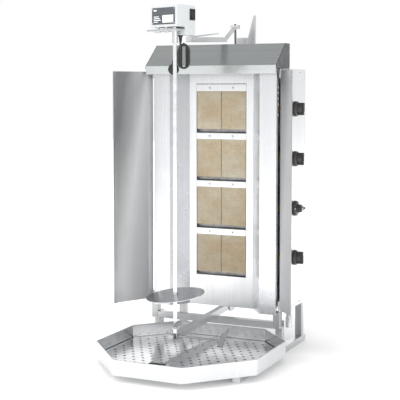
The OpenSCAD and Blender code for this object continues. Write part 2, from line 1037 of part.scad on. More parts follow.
module switch_bezel() {
    color("#202020")
        at_head()
            translate([case_x1, rocker_y, rocker_z]) {
                difference() {
                    translate([0, -11, -16])
                        cube([2, 22, 32]);
                    translate([-1, -8, -12])
                        cube([4, 16, 24]);
                }
                for (y = [-8.8, 7.4])
                    translate([-7, y, -5])
                        cube([7.2, 1.4, 10]);
                translate([-3, 8, 0])
                    rotate([90, 0, 0])
                        cylinder(r = 1.5, h = 16, $fn = small);
            }
}

module switch_rocker() {
    color("black")
        at_head()
            translate([case_x1 - 3, rocker_y, rocker_z])
                difference() {
                    rotate([90, 0, 0])
                        linear_extrude(height = 14, center = true)
                            polygon([[-3, -9], [5, -10.5], [7.5, -10.5], [5.5, 0], [5, 10.5], [-3, 9]]);
                    rotate([90, 0, 0])
                        cylinder(r = 1.55, h = 20, center = true, $fn = small);
                }
}

module drive_socket() {
    bore = skewer_w / 2 + touch;
    z0 = drive_z - socket_l;
    color("silver")
        translate([0, -skewer_y, 0])
            difference() {
                union() {
                    translate([0, 0, z0])
                        cylinder(r = socket_r + 1, h = socket_l - 0.5, $fn = fine);
                    translate([0, 0, drive_z - 1])
                        cylinder(r = shaft_r, h = case_z + 12 - drive_z + 1, $fn = fine);
                }
                rotate([0, 0, 20])
                    translate([-bore, -bore, z0 - 1])
                        cube([2 * bore, 2 * bore, 24]);
                translate([0, 0, z0 + 12])
                    rotate([90, 0, 20])
                        cylinder(r = 2.2, h = 12, $fn = small);
            }
}

/* ---- Mains cord ---- */

gland_x = 3;
gland_y = 20;
gland_z = case_z - casing_h;
gland_l = 20;

lead_path = [[9, -270.9, 960], [9, -270.9, 956], [8.9, -270.9, 952], [8.2, -270.8, 948],
             [7.2, -270.7, 944]];
// The last stretch, from the hank down into the plug
tail_path = [[-7.7, -250.2, 938], [-9.3, -250, 932], [-13.3, -249.4, 926.5], [-18.1, -248.8, 921],
             [-22.3, -248.2, 915.5], [-24.5, -248, 912], [-24.5, -248, 909]];
hank_mid = [12, -255, 920];
hank_turn = 24;
hank_w = 38;
hank_l = 74;
hank_t = 25;
plug_mid = [-20, -258, 883];
plug_r = 16;
plug_l = 22;
neck_l = 26;

module cord_gland() {
    color("black")
        at_head()
            translate([gland_x, gland_y, gland_z - gland_l]) {
                cylinder(r1 = cord_d / 2 + 1.2, r2 = 6, h = gland_l - 4, $fn = small);
                translate([0, 0, gland_l - 4])
                    cylinder(r = 7, h = 4, $fn = small);
            }
}

// Direction of travel at point i of a route
function heading(p, i) = let (d = p[min(i + 1, len(p) - 1)] - p[max(i - 1, 0)]) d / norm(d);

// A round tube swept along a route of points
module swept_tube(p, d, sides) {
    n = len(p);
    ring = [
        for (i = [0 : n - 1])
            let (t = heading(p, i),
                 u0 = cross(t, [1, 0, 0]),
                 u = u0 / norm(u0),
                 v = cross(t, u))
            for (k = [0 : sides - 1])
                p[i] + d / 2 * (cos(360 * k / sides) * u + sin(360 * k / sides) * v)
    ];
    skin = [
        for (i = [0 : n - 2])
            for (k = [0 : sides - 1])
                let (a = i * sides + k, b = i * sides + (k + 1) % sides)
                [a, a + sides, b + sides, b]
    ];
    polyhedron(ring, concat(skin, [[for (k = [0 : sides - 1]) k]],
                            [[for (k = [sides - 1 : -1 : 0]) (n - 1) * sides + k]]));
}

module cord_lead() {
    color("#1c2420") {
        swept_tube(lead_path, cord_d, 10);
        swept_tube(tail_path, cord_d, 10);
    }
}

module cord_hank() {
    r = hank_w / 2;
    color("#1c2420")
        translate(hank_mid)
            rotate([90, 0, hank_turn])
                linear_extrude(height = hank_t, center = true) {
                    translate([-r, -hank_l / 2 + r])
                        square([2 * r, hank_l - 2 * r]);
                    for (y = [-hank_l / 2 + r, hank_l / 2 - r])
                        translate([0, y])
                            circle(r = r, $fn = fine);
                }
}

module plug() {
    pin_gap = 9.5;
    color("black")
        translate(plug_mid)
            rotate([0, 0, hank_turn]) {
                rotate([-90, 0, 0])
                    cylinder(r = plug_r, h = plug_l, $fn = fine);
                translate([0, plug_l / 2, 0])
                    cylinder(r = 5.5, h = neck_l, $fn = small);
                for (x = [-pin_gap, pin_gap])
                    translate([x, plug_l, 0])
                        rotate([-90, 0, 0])
                            cylinder(r = 2.4, h = 19, $fn = small);
            }
}

/* ---- Drip tray ---- */

tray_wall = 1.5;
insert_gap = 3;
insert_z = rail_h + tray_wall + 3;
seam = 0.5;

module drip_tray() {
    color("gainsboro")
        translate([0, 0, rail_h])
            difference() {
                linear_extrude(height = tray_h)
                    polygon(tray_outline(0));
                translate([0, 0, tray_wall])
                    linear_extrude(height = tray_h)
                        polygon(tray_outline(tray_wall));
            }
}

// The right half of the insert: a plate on feet with a raised flange along the seam
module insert_half(flange_y0) {
    flange_h = 19;
    far_y = tray_back_y - tray_wall - insert_gap;
    translate([0, 0, insert_z])
        linear_extrude(height = tray_wall)
            intersection() {
                polygon(tray_outline(tray_wall + insert_gap));
                translate([seam, tray_front_y])
                    square([tray_half_w, tray_back_y - tray_front_y]);
            }
    translate([seam, 0, insert_z])
        rotate([90, 0, 90])
            linear_extrude(height = tray_wall)
                polygon([[flange_y0, 0], [flange_y0 - 60, flange_h], [far_y - 40, flange_h],
                         [far_y - 30, 0]]);
    for (at = [[40, tray_front_y + 60], [190, tray_side_y0 + 20], [190, tray_side_y1 - 20],
               [40, tray_back_y - 60]])
        translate([at[0], at[1], insert_z - 3])
            cylinder(r = 5, h = 3.2, $fn = small);
}

module left_insert() {
    color("gainsboro")
        difference() {
            mirror([1, 0, 0])
                insert_half(-250);
            translate([-66, -390, insert_z - 1])
                cube([56, 70, 30]);
        }
}

module right_insert() {
    color("gainsboro")
        insert_half(-320);
}

floor_frame();
rail_caps();
rear_legs();
front_posts();
front_crossbar();
left_side_wall();
right_side_wall();
rear_cover();
top_plate();
bottom_plate();
left_column();
right_column();
burner_frame();
burner_bodies();
ceramic_tiles();
burner_strips();
housing_screws();
gas_manifold();
gas_taps();
feed_pipes();
gas_inlet();
control_cover();
knob_bezels();
hood();
hood_cheeks();
wing_pins();
lower_arm_guide();
upper_arm_track();
rear_upright();
left_wing();
right_wing();
knob_1();
knob_2();
knob_3();
knob_4();
lower_arm();
bearing_block();
clamp_bolt();
clamp_lever();
skewer();
meat_plate();
plate_screw();
upper_arm();
arm_gusset();
arm_pillar();
drive_plate();
plate_bolts();
gear_casing();
motor_case();
gear_motor();
switch_bezel();
switch_rocker();
drive_socket();
cord_gland();
cord_lead();
cord_hank();
plug();
drip_tray();
left_insert();
right_insert();
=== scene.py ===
"""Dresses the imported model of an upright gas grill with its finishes, fine shapes, light and camera."""

import json
import logging
import math
from contextlib import contextmanager
from dataclasses import dataclass, field
from enum import Enum
from typing import Callable, Iterable, Iterator, Sequence

import bmesh
import bpy
from mathutils import Matrix, Vector


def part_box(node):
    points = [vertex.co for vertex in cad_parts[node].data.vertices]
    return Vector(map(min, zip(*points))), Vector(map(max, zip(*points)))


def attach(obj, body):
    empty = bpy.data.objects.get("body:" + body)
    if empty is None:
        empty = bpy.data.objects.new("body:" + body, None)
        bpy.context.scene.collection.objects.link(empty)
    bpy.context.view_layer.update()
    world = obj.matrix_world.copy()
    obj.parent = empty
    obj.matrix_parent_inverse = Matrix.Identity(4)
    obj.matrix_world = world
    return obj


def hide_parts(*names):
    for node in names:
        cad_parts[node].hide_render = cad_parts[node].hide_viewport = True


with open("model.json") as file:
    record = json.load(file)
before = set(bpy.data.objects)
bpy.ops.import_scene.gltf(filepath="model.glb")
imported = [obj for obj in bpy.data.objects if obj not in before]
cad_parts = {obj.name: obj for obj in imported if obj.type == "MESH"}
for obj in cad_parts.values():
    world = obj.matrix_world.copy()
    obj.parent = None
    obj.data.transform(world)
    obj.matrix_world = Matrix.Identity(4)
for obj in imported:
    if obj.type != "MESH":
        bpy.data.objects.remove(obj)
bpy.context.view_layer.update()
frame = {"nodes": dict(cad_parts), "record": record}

log = logging.getLogger("grill")

Point = tuple[float, float, float]
Colour = tuple[float, float, float]


# ---------------------------------------------------------------- names and choices


class Body(str, Enum):
    """The bodies of the grill that wholly new pieces ride on."""

    STAND = "stand"
    UPPER_ARM = "upper_arm"
    TRAY = "drip_tray"


class Grain(Enum):
    """The direction in which a sheet was ground."""

    ACROSS = (2.0, 160.0, 160.0)
    DEEP = (160.0, 2.0, 160.0)
    UPRIGHT = (160.0, 160.0, 2.0)


# ---------------------------------------------------------------- shader work


class ShaderGraph:
    """A material's node tree under construction, with one short call for each kind of node."""

    def __init__(self, name: str) -> None:
        """Starts an empty tree that holds only a principled shader and the output.

        Args:
            name: The material's name.
        """
        self.material = bpy.data.materials.new(name)
        self.material.use_nodes = True
        self.tree = self.material.node_tree
        self.tree.nodes.clear()
        output = self.tree.nodes.new("ShaderNodeOutputMaterial")
        self.shader = self.tree.nodes.new("ShaderNodeBsdfPrincipled")
        self.tree.links.new(self.shader.outputs["BSDF"], output.inputs["Surface"])

    def put(self, **values: object) -> None:
        """Sets plain values on the shader's own sockets; an underscore stands for a space."""
        for name, value in values.items():
            self.shader.inputs[name.replace("_", " ")].default_value = value

    def feed(self, name: str, socket: bpy.types.NodeSocket) -> None:
        """Links a socket to one of the shader's inputs."""
        self.tree.links.new(socket, self.shader.inputs[name])

    def coords(self, scale: Point = (1.0, 1.0, 1.0)) -> bpy.types.NodeSocket:
        """Returns the object's own coordinates, in metres, scaled along each axis."""
        source = self.tree.nodes.new("ShaderNodeTexCoord")
        mapping = self.tree.nodes.new("ShaderNodeMapping")
        mapping.inputs["Scale"].default_value = scale
        self.tree.links.new(source.outputs["Object"], mapping.inputs["Vector"])
        return mapping.outputs["Vector"]

    def noise(self, scale: Point, detail: float = 3.0, rough: float = 0.5) -> bpy.types.NodeSocket:
        """Returns a noise value from 0 to 1.

        Args:
            scale: Features per metre along X, Y and Z.
            detail: Number of finer layers.
            rough: Strength of the finer layers.

        Returns:
            The noise's value socket.
        """
        node = self.tree.nodes.new("ShaderNodeTexNoise")
        node.inputs["Scale"].default_value = 1.0
        node.inputs["Detail"].default_value = detail
        node.inputs["Roughness"].default_value = rough
        self.tree.links.new(self.coords(scale), node.inputs["Vector"])
        return node.outputs["Fac"]

    def remap(self, value: bpy.types.NodeSocket, source: Sequence[float],
              target: Sequence[float]) -> bpy.types.NodeSocket:
        """Maps a value from one range to another, held at the ends.

        Args:
            value: The value to map.
            source: Low and high end of the value's range.
            target: What the two ends become.

        Returns:
            The mapped value's socket.
        """
        node = self.tree.nodes.new("ShaderNodeMapRange")
        node.clamp = True
        for name, number in zip(("From Min", "From Max", "To Min", "To Max"), (*source, *target)):
            node.inputs[name].default_value = number
        self.tree.links.new(value, node.inputs["Value"])
        return node.outputs["Result"]

    def blend(self, factor: bpy.types.NodeSocket, first: object, second: object) -> bpy.types.NodeSocket:
        """Mixes two colours.

        Args:
            factor: Share of the second colour.
            first: A colour or a socket.
            second: A colour or a socket.

        Returns:
            The mixed colour's socket.
        """
        node = self.tree.nodes.new("ShaderNodeMix")
        node.data_type = "RGBA"
        self.tree.links.new(factor, node.inputs["Factor"])
        for socket, value in ((node.inputs[6], first), (node.inputs[7], second)):
            if isinstance(value, bpy.types.NodeSocket):
                self.tree.links.new(value, socket)
            else:
                socket.default_value = (*value, 1.0)
        return node.outputs[2]

    def math(self, operation: str, first: bpy.types.NodeSocket,
             second: object = 0.0) -> bpy.types.NodeSocket:
        """Applies a math operation to two values.

        Args:
            operation: The operation's name.
            first: The first value's socket.
            second: A number or a socket.

        Returns:
            The result's socket.
        """
        node = self.tree.nodes.new("ShaderNodeMath")
        node.operation = operation
        self.tree.links.new(first, node.inputs[0])
        if isinstance(second, bpy.types.NodeSocket):
            self.tree.links.new(second, node.inputs[1])
        else:
            node.inputs[1].default_value = second
        return node.outputs[0]

    def bump(self, height: bpy.types.NodeSocket, depth: float, strength: float = 1.0) -> None:
        """Raises the surface by a height value, up to a depth in metres."""
        node = self.tree.nodes.new("ShaderNodeBump")
        node.inputs["Distance"].default_value = depth
        node.inputs["Strength"].default_value = strength
        self.tree.links.new(height, node.inputs["Height"])
        self.feed("Normal", node.outputs["Normal"])


def rotation(degrees: float, axis: str) -> Matrix:
    """Returns a turn about one of the axes X, Y and Z."""
    return Matrix.Rotation(math.radians(degrees), 4, axis)


def shade(colour: Colour, factor: float) -> Colour:
    """Returns a colour made darker or lighter by a factor."""
    return tuple(min(1.0, c * factor) for c in colour)


@dataclass(frozen=True)
class Finish:
    """A named surface finish. Each kind of finish says how its material is made."""

    name: str

    def build(self, graph: ShaderGraph) -> None:
        """Adds this finish's nodes to an empty graph."""
        raise NotImplementedError

    def material(self) -> bpy.types.Material:
        """Returns the finish's material, made on first use."""
        known = bpy.data.materials.get(self.name)
        if known:
            return known
        graph = ShaderGraph(self.name)
        self.build(graph)
        return graph.material


@dataclass(frozen=True)
class GroundSteel(Finish):
    """Stainless sheet with a ground grain, faint streaks and handling smudges."""

    tint: Colour = (0.62, 0.63, 0.64)
    rough: float = 0.3
    grain: Grain = Grain.UPRIGHT
    streaks: float = 0.1
    stain: float = 0.06

    def build(self, graph: ShaderGraph) -> None:
        """Adds the grain, streaks and smudges.

        Args:
            graph: The graph to fill.
        """
        fine = tuple(9.0 * s for s in self.grain.value)
        streak = graph.noise(self.grain.value, 4.0, 0.65)
        hair = graph.noise(fine, 2.0)
        cloud = graph.noise((7.0, 7.0, 7.0), 3.0, 0.6)
        tone = graph.remap(streak, (0.3, 0.7), (0.0, 1.0))
        base = graph.blend(tone, shade(self.tint, 1.0 - self.streaks), shade(self.tint, 1.0 + self.streaks))
        dull = graph.remap(cloud, (0.45, 0.75), (0.0, self.stain * 5.0))
        graph.feed("Base Color", graph.blend(dull, base, shade(self.tint, 0.82)))
        spread = graph.remap(cloud, (0.3, 0.7), (self.rough - 0.05, self.rough + 0.07))
        fuzz = graph.remap(streak, (0.3, 0.7), (-0.015, 0.02))
        graph.feed("Roughness", graph.math("ADD", spread, fuzz))
        graph.put(Metallic=1.0)
        graph.bump(hair, 0.00003, 0.2)


@dataclass(frozen=True)
class PolishedSteel(Finish):
    """Bright stainless with fine wiping marks in all directions."""

    tint: Colour = (0.74, 0.75, 0.76)
    rough: float = 0.14

    def build(self, graph: ShaderGraph) -> None:
        """Adds wiping marks, dull patches and hair scratches.

        Args:
            graph: The graph to fill.
        """
        wipe = graph.noise((24.0, 90.0, 60.0), 5.0, 0.7)
        haze = graph.noise((9.0, 9.0, 9.0), 4.0, 0.6)
        graph.feed("Base Color", graph.blend(graph.remap(wipe, (0.35, 0.65), (0.0, 1.0)),
                                             shade(self.tint, 0.9), shade(self.tint, 1.06)))
        graph.feed("Roughness", graph.remap(haze, (0.3, 0.7), (self.rough - 0.04, self.rough + 0.1)))
        graph.put(Metallic=1.0)
        graph.bump(graph.noise((900.0, 300.0, 900.0), 2.0), 0.00004, 0.2)


@dataclass(frozen=True)
class PlatedSteel(Finish):
    """Zinc plate, brass, copper or cast metal: mottled, with a grainy skin."""

    tint: Colour = (0.5, 0.51, 0.52)
    rough: float = 0.4
    mottle: float = 0.15
    grit: float = 600.0

    def build(self, graph: ShaderGraph) -> None:
        """Adds the mottling and the grain of the skin.

        Args:
            graph: The graph to fill.
        """
        spots = graph.noise((70.0, 70.0, 70.0), 5.0, 0.65)
        graph.feed("Base Color", graph.blend(graph.remap(spots, (0.3, 0.7), (0.0, 1.0)),
                                             shade(self.tint, 1.0 - self.mottle),
                                             shade(self.tint, 1.0 + self.mottle)))
        graph.feed("Roughness", graph.remap(spots, (0.3, 0.7), (self.rough + 0.1, self.rough - 0.08)))
        graph.put(Metallic=1.0)
        graph.bump(graph.noise((self.grit,) * 3, 3.0), 0.00008, 0.3)


@dataclass(frozen=True)
class Coated(Finish):
    """A painted or moulded skin with an even fine texture and faint dust."""

    tint: Colour = (0.5, 0.51, 0.52)
    rough: float = 0.4
    pebble: float = 1100.0
    depth: float = 0.00008
    coat: float = 0.0
    dust: float = 0.06

    def build(self, graph: ShaderGraph) -> None:
        """Adds the pebbled skin and the dust that settles on it.

        Args:
            graph: The graph to fill.
        """
        cloud = graph.noise((18.0, 18.0, 18.0), 4.0, 0.6)
        dusty = graph.remap(cloud, (0.4, 0.8), (0.0, 1.0))
        paler = tuple(c + self.dust * (0.6 - c) for c in self.tint)
        graph.feed("Base Color", graph.blend(dusty, self.tint, paler))
        graph.feed("Roughness", graph.remap(cloud, (0.3, 0.7), (self.rough - 0.05, self.rough + 0.08)))
        graph.put(Coat_Weight=self.coat)
        graph.bump(graph.noise((self.pebble,) * 3, 2.0), self.depth, 0.5)


@dataclass(frozen=True)
class BurnerCeramic(Finish):
    """Pressed burner ceramic: rows of tiny holes darkened with painted shade, scorched unevenly by use."""

    tint: Colour = (0.56, 0.44, 0.28)
    scorch_and_hole_shade: Colour = (0.34, 0.24, 0.14)
    pale: Colour = (0.7, 0.67, 0.55)
    pitch: float = 0.0034

    def build(self, graph: ShaderGraph) -> None:
        """Adds the hole rows, darkened with painted shade, and the patches of scorching.

        Args:
            graph: The graph to fill.
        """
        turn = 2.0 * math.pi / self.pitch
        split = graph.tree.nodes.new("ShaderNodeSeparateXYZ")
        graph.tree.links.new(graph.coords((turn, turn, turn)), split.inputs[0])
        rows = graph.math("MULTIPLY", graph.math("SINE", split.outputs["X"]),
                          graph.math("SINE", split.outputs["Z"]))
        hole = graph.remap(rows, (0.25, 0.75), (0.0, 1.0))
        patch = graph.noise((9.0, 9.0, 16.0), 4.0, 0.6)
        speck = graph.noise((120.0, 120.0, 120.0), 2.0)
        warm = graph.blend(graph.remap(patch, (0.35, 0.68), (0.0, 1.0)), self.tint, self.pale)
        warm = graph.blend(graph.remap(speck, (0.55, 0.8), (0.0, 0.3)), warm, self.scorch_and_hole_shade)
        # the holes are blended towards the scorch colour: painted shade inside the tiny holes
        graph.feed("Base Color", graph.blend(graph.math("MULTIPLY", hole, 0.75), warm, self.scorch_and_hole_shade))
        graph.put(Roughness=0.85)
        graph.bump(graph.math("MULTIPLY", hole, -1.0), 0.0006, 0.8)


@dataclass(frozen=True)
class StudioFloor(Finish):
    """A pale floor that brightens away from the middle until it meets the white surround."""

    tint: Colour = (0.86, 0.86, 0.86)

    def build(self, graph: ShaderGraph) -> None:
        """Adds the ring of light."""
        length = graph.tree.nodes.new("ShaderNodeVectorMath")
        length.operation = "LENGTH"
        graph.tree.links.new(graph.coords(), length.inputs[0])
        graph.feed("Emission Strength", graph.remap(length.outputs["Value"], (0.35, 1.5), (0.12, 1.0)))
        graph.put(Base_Color=(*self.tint, 1.0), Emission_Color=(1.0, 1.0, 1.0, 1.0), Roughness=0.85)


SHEET = GroundSteel("sheet_upright")
SHEET_FRONT = GroundSteel("sheet_front", tint=(0.74, 0.75, 0.76), rough=0.32, streaks=0.04)
SHEET_PANEL = GroundSteel("sheet_panel", tint=(0.72, 0.73, 0.74), rough=0.3, streaks=0.05)
SHEET_FLAT = GroundSteel("sheet_flat", grain=Grain.ACROSS)
SHEET_HOOD = GroundSteel("sheet_hood", tint=(0.66, 0.69, 0.69), rough=0.24, grain=Grain.ACROSS,
                         streaks=0.05)
SHEET_WING = GroundSteel("sheet_wing", tint=(0.68, 0.69, 0.7), rough=0.46, streaks=0.03, stain=0.03)
SHEET_REFLECTOR = GroundSteel("sheet_reflector", tint=(0.68, 0.69, 0.71), rough=0.26, streaks=0.04)
TUBE_DEEP = GroundSteel("tube_deep", rough=0.32, grain=Grain.DEEP)
TUBE_CROSS = GroundSteel("tube_cross", rough=0.32, grain=Grain.ACROSS)
TUBE_UPRIGHT = GroundSteel("tube_upright", tint=(0.52, 0.53, 0.54), rough=0.34)
INSERT_SHEET = GroundSteel("insert_sheet", tint=(0.7, 0.71, 0.72), rough=0.2, grain=Grain.DEEP)
TRAY_STEEL = GroundSteel("tray_steel", tint=(0.74, 0.75, 0.76), rough=0.18, grain=Grain.ACROSS,
                         streaks=0.04)
BRIGHT = PolishedSteel("bright_steel")
PLATE_STEEL = PolishedSteel("plate_steel", tint=(0.46, 0.47, 0.48), rough=0.16)
# Dark floor of the tray: painted shade under the inserts, so that the drain holes read dark
TRAY_FLOOR_SHADE = GroundSteel("tray_floor", tint=(0.16, 0.16, 0.16), rough=0.4, grain=Grain.ACROSS)
# Hood cheeks: the near-black tint is a painted dark reflection of the surroundings
CHEEK_PAINTED_REFLECTION = PlatedSteel("cheek_steel", tint=(0.09, 0.095, 0.1), rough=0.34)
BLUED = PlatedSteel("blued_steel", tint=(0.16, 0.17, 0.18), rough=0.45)
BURNER_CASE = PlatedSteel("burner_case", tint=(0.34, 0.34, 0.34), rough=0.5, mottle=0.25)
CERAMIC = BurnerCeramic("burner_ceramic")
WIRE = PlatedSteel("mesh_wire", tint=(0.62, 0.58, 0.5), rough=0.45)
ZINC = PlatedSteel("zinc_plate", tint=(0.6, 0.61, 0.62), rough=0.32)
BRASS = PlatedSteel("tap_brass", tint=(0.7, 0.52, 0.24), rough=0.3)
COPPER = PlatedSteel("drawn_copper", tint=(0.68, 0.36, 0.24), rough=0.33)
CAST = PlatedSteel("cast_motor", tint=(0.12, 0.12, 0.13), rough=0.55)
CASE_COAT = Coated("case_coat", tint=(0.5, 0.52, 0.53), rough=0.42, pebble=900.0)
LABEL_SLATE = Coated("label_slate", tint=(0.055, 0.065, 0.075), rough=0.35, pebble=300.0, depth=0.00001)
LABEL_WHITE = Coated("label_white", tint=(0.78, 0.79, 0.79), rough=0.4, pebble=300.0, depth=0.00001)
KNOB_BLACK = Coated("knob_black", tint=(0.012, 0.012, 0.013), rough=0.28, coat=0.3, dust=0.02)
MARK_WHITE = Coated("mark_white", tint=(0.8, 0.8, 0.79), rough=0.45, dust=0.0)
PALE_PLASTIC = Coated("pale_plastic", tint=(0.72, 0.73, 0.73), rough=0.45, dust=0.02)
BLACK_PLASTIC = Coated("black_plastic", tint=(0.015, 0.015, 0.016), rough=0.45, dust=0.03)
BLACK_RUBBER = Coated("black_rubber", tint=(0.016, 0.018, 0.017), rough=0.6, pebble=700.0, dust=0.04)
CORD_SHEATH = Coated("cord_sheath", tint=(0.02, 0.026, 0.024), rough=0.5, pebble=500.0, dust=0.05)


# ---------------------------------------------------------------- mesh work


def deselect() -> None:
    """Clears the selection, so that an operator acts only on what is picked next."""
    bpy.ops.object.select_all(action="DESELECT")


def pick(*objects: bpy.types.Object) -> None:
    """Selects these objects alone and makes the first one active."""
    deselect()
    for one in objects:
        one.select_set(True)
    bpy.context.view_layer.objects.active = objects[0]


@contextmanager
def editing(piece: bpy.types.Object) -> Iterator[None]:
    """Puts a piece in edit mode with everything selected, and leaves it again."""
    pick(piece)
    bpy.ops.object.mode_set(mode="EDIT")
    bpy.ops.mesh.select_all(action="SELECT")
    yield
    bpy.ops.object.mode_set(mode="OBJECT")


def pick_faces(piece: bpy.types.Object, test: Callable[[bmesh.types.BMFace], bool]) -> None:
    """Selects, in edit mode, the faces that pass a test.

    Args:
        piece: The piece in edit mode.
        test: Says whether a face is wanted.
    """
    work = bmesh.from_edit_mesh(piece.data)
    for face in work.faces:
        face.select_set(False)
    for face in work.faces:
        if test(face):
            face.select_set(True)
    work.select_flush_mode()
    bmesh.update_edit_mesh(piece.data)


def settle(piece: bpy.types.Object) -> bpy.types.Object:
    """Moves a piece's place into its mesh, so that its object sits at the origin."""
    pick(piece)
    bpy.ops.object.transform_apply(location=True, rotation=True, scale=True)
    return piece


def apply_modifier(piece: bpy.types.Object, kind: str, **settings: object) -> None:
    """Adds a modifier with these settings and applies it at once."""
    pick(piece)
    modifier = piece.modifiers.new(kind.lower(), kind)
    for name, value in settings.items():
        setattr(modifier, name, value)
    bpy.ops.object.modifier_apply(modifier=modifier.name)


def soften(piece: bpy.types.Object, width: float, segments: int = 2, angle: float = 35.0) -> None:
    """Rounds a piece's sharp edges and shades the rest smooth.

    Args:
        piece: The mesh to round.
        width: Width of the rounding, in metres; 0 leaves the edges sharp.
        segments: Facets across each rounding.
        angle: Edges sharper than this, in degrees, are rounded.
    """
    if width > 0:
        apply_modifier(piece, "BEVEL", width=width, segments=segments, limit_method="ANGLE",
                       angle_limit=math.radians(angle), use_clamp_overlap=True)
    pick(piece)
    bpy.ops.object.shade_smooth_by_angle(angle=math.radians(angle))
    if width > 0:
        apply_modifier(piece, "WEIGHTED_NORMAL", keep_sharp=True)


def block(name: str, low: Sequence[float], high: Sequence[float], edge: float = 0.0005,
          segments: int = 2) -> bpy.types.Object:
    """Makes a block with rounded edges between two corners.

    Args:
        name: The piece's name.
        low: Lowest corner, in metres.
        high: Highest corner, in metres.
        edge: Width of the edge rounding.
        segments: Facets across the rounding.

    Returns:
        The new piece.
    """
    deselect()
    middle = [(a + b) / 2 for a, b in zip(low, high)]
    extent = [b - a for a, b in zip(low, high)]
    bpy.ops.mesh.primitive_cube_add(size=1.0, location=middle, scale=extent)
    piece = bpy.context.object
    piece.name = name
    settle(piece)
    soften(piece, edge, segments)
    return piece


def turned(name: str, profile: Sequence[tuple[float, float]], place: Matrix,
           steps: int = 40) -> bpy.types.Object:
    """Turns a profile about local Z, as on a lathe.

    Args:
        name: The piece's name.
        profile: Radius and height of each point, in metres, from one end to the other.
        place: Where the local frame goes.
        steps: Facets round the axis.

    Returns:
        The new closed piece.
    """
    mesh = bpy.data.meshes.new(name)
    mesh.from_pydata([(r, 0.0, z) for r, z in profile], [(i, i + 1) for i in range(len(profile) - 1)], [])
    piece = bpy.data.objects.new(name, mesh)
    bpy.context.scene.collection.objects.link(piece)
    with editing(piece):
        bpy.ops.mesh.spin(steps=steps, angle=2.0 * math.pi, center=(0, 0, 0), axis=(0, 0, 1))
        bpy.ops.mesh.select_all(action="SELECT")
        bpy.ops.mesh.remove_doubles(threshold=1e-6)
        bpy.ops.mesh.normals_make_consistent(inside=False)
    piece.data.transform(place)
    soften(piece, 0.0, angle=32.0)
    return piece


def joined(name: str, pieces: Sequence[bpy.types.Object]) -> bpy.types.Object:
    """Joins pieces into the first one and names the result."""
    pick(*pieces)
    bpy.ops.object.join()
    pieces[0].name = name
    pieces[0].data.name = name
    return pieces[0]


def copies(pattern: bpy.types.Object, places: Iterable[Matrix]) -> list[bpy.types.Object]:
    """Copies a piece to each place and removes the pattern.

    Args:
        pattern: The piece to copy, at the origin.
        places: Where the copies go.

    Returns:
        The copies, each with its own mesh.
    """
    made = []
    for place in places:
        twin = pattern.copy()
        twin.data = pattern.data.copy()
        twin.data.transform(place)
        bpy.context.scene.collection.objects.link(twin)
        made.append(twin)
    bpy.data.objects.remove(pattern)
    return made


def cut(piece: bpy.types.Object, tool: bpy.types.Object) -> None:
    """Cuts a tool's shape out of a piece and removes the tool."""
    apply_modifier(piece, "BOOLEAN", object=tool, operation="DIFFERENCE", solver="EXACT")
    bpy.data.objects.remove(tool)


def paint(piece: bpy.types.Object, finish: Finish) -> bpy.types.Object:
    """Gives a piece one finish all over."""
    piece.data.materials.clear()
    piece.data.materials.append(finish.material())
    return piece


def cad_copy(node: str, name: str) -> bpy.types.Object:
    """Copies a CAD node's mesh, merged and with its flat faces whole.

    Args:
        node: The CAD node.
        name: The copy's name.

    Returns:
        The copy.
    """
    piece = bpy.data.objects.new(name, frame["nodes"][node].data.copy())
    bpy.context.scene.collection.objects.link(piece)
    with editing(piece):
        bpy.ops.mesh.remove_doubles(threshold=1e-5)
        bpy.ops.mesh.dissolve_limited(angle_limit=math.radians(0.5))
    return piece


def islands(node: str) -> list[tuple[Vector, Vector]]:
    """Finds the separate solids of a CAD node.

    Args:
        node: The CAD node.

    Returns:
        Each solid's lowest and highest corner, from the lowest solid up.
    """
    work = bmesh.new()
    work.from_mesh(frame["nodes"][node].data)
    bmesh.ops.remove_doubles(work, verts=work.verts, dist=1e-5)
    left, found = set(work.verts), []
    while left:
        stack, group = [left.pop()], []
        while stack:
            vertex = stack.pop()
            group.append(vertex.co.copy())
            for edge in vertex.link_edges:
                other = edge.other_vert(vertex)
                if other in left:
                    left.remove(other)
                    stack.append(other)
        found.append((Vector([min(p[i] for p in group) for i in range(3)]),
                      Vector([max(p[i] for p in group) for i in range(3)])))
    work.free()
    return sorted(found, key=lambda box: (round(box[0].z, 4), round(box[0].y, 4), round(box[0].x, 4)))


@dataclass
class Register:
    """Knows which body and slot each CAD node has, and sets finished pieces on their bodies in place of CAD
    nodes.
    """

    bodies: dict[str, str] = field(default_factory=dict)
    slots: dict[str, str] = field(default_factory=dict)
    taken: set[str] = field(default_factory=set)

    def __post_init__(self) -> None:
        """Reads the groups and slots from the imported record."""
        record = frame["record"]
        for body, nodes in record["behaviour"]["bodies"].items():
            self.bodies.update({node: body for node in nodes})
        self.slots = {row["node"]: row["material_slot"] for row in record["subparts"]}

    def add(self, piece: bpy.types.Object, body: str, slot: str, *nodes: str) -> bpy.types.Object:
        """Makes a piece ride on a body, in place of some CAD nodes.

        Args:
            piece: The finished piece.
            body: The body that it rides on.
            slot: The record's material slot; not used.
            nodes: CAD nodes that it stands for.

        Returns:
            The piece.
        """
        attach(piece, str(body.value if isinstance(body, Body) else body))
        if nodes:
            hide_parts(*nodes)
            self.taken.update(nodes)
        log.info("piece %s on %s", piece.name, body)
        return piece

    def stand_in(self, piece: bpy.types.Object, node: str) -> bpy.types.Object:
        """Makes a piece stand for one CAD node, on its body."""
        return self.add(piece, self.bodies[node], self.slots[node], node)


# ---------------------------------------------------------------- view and light


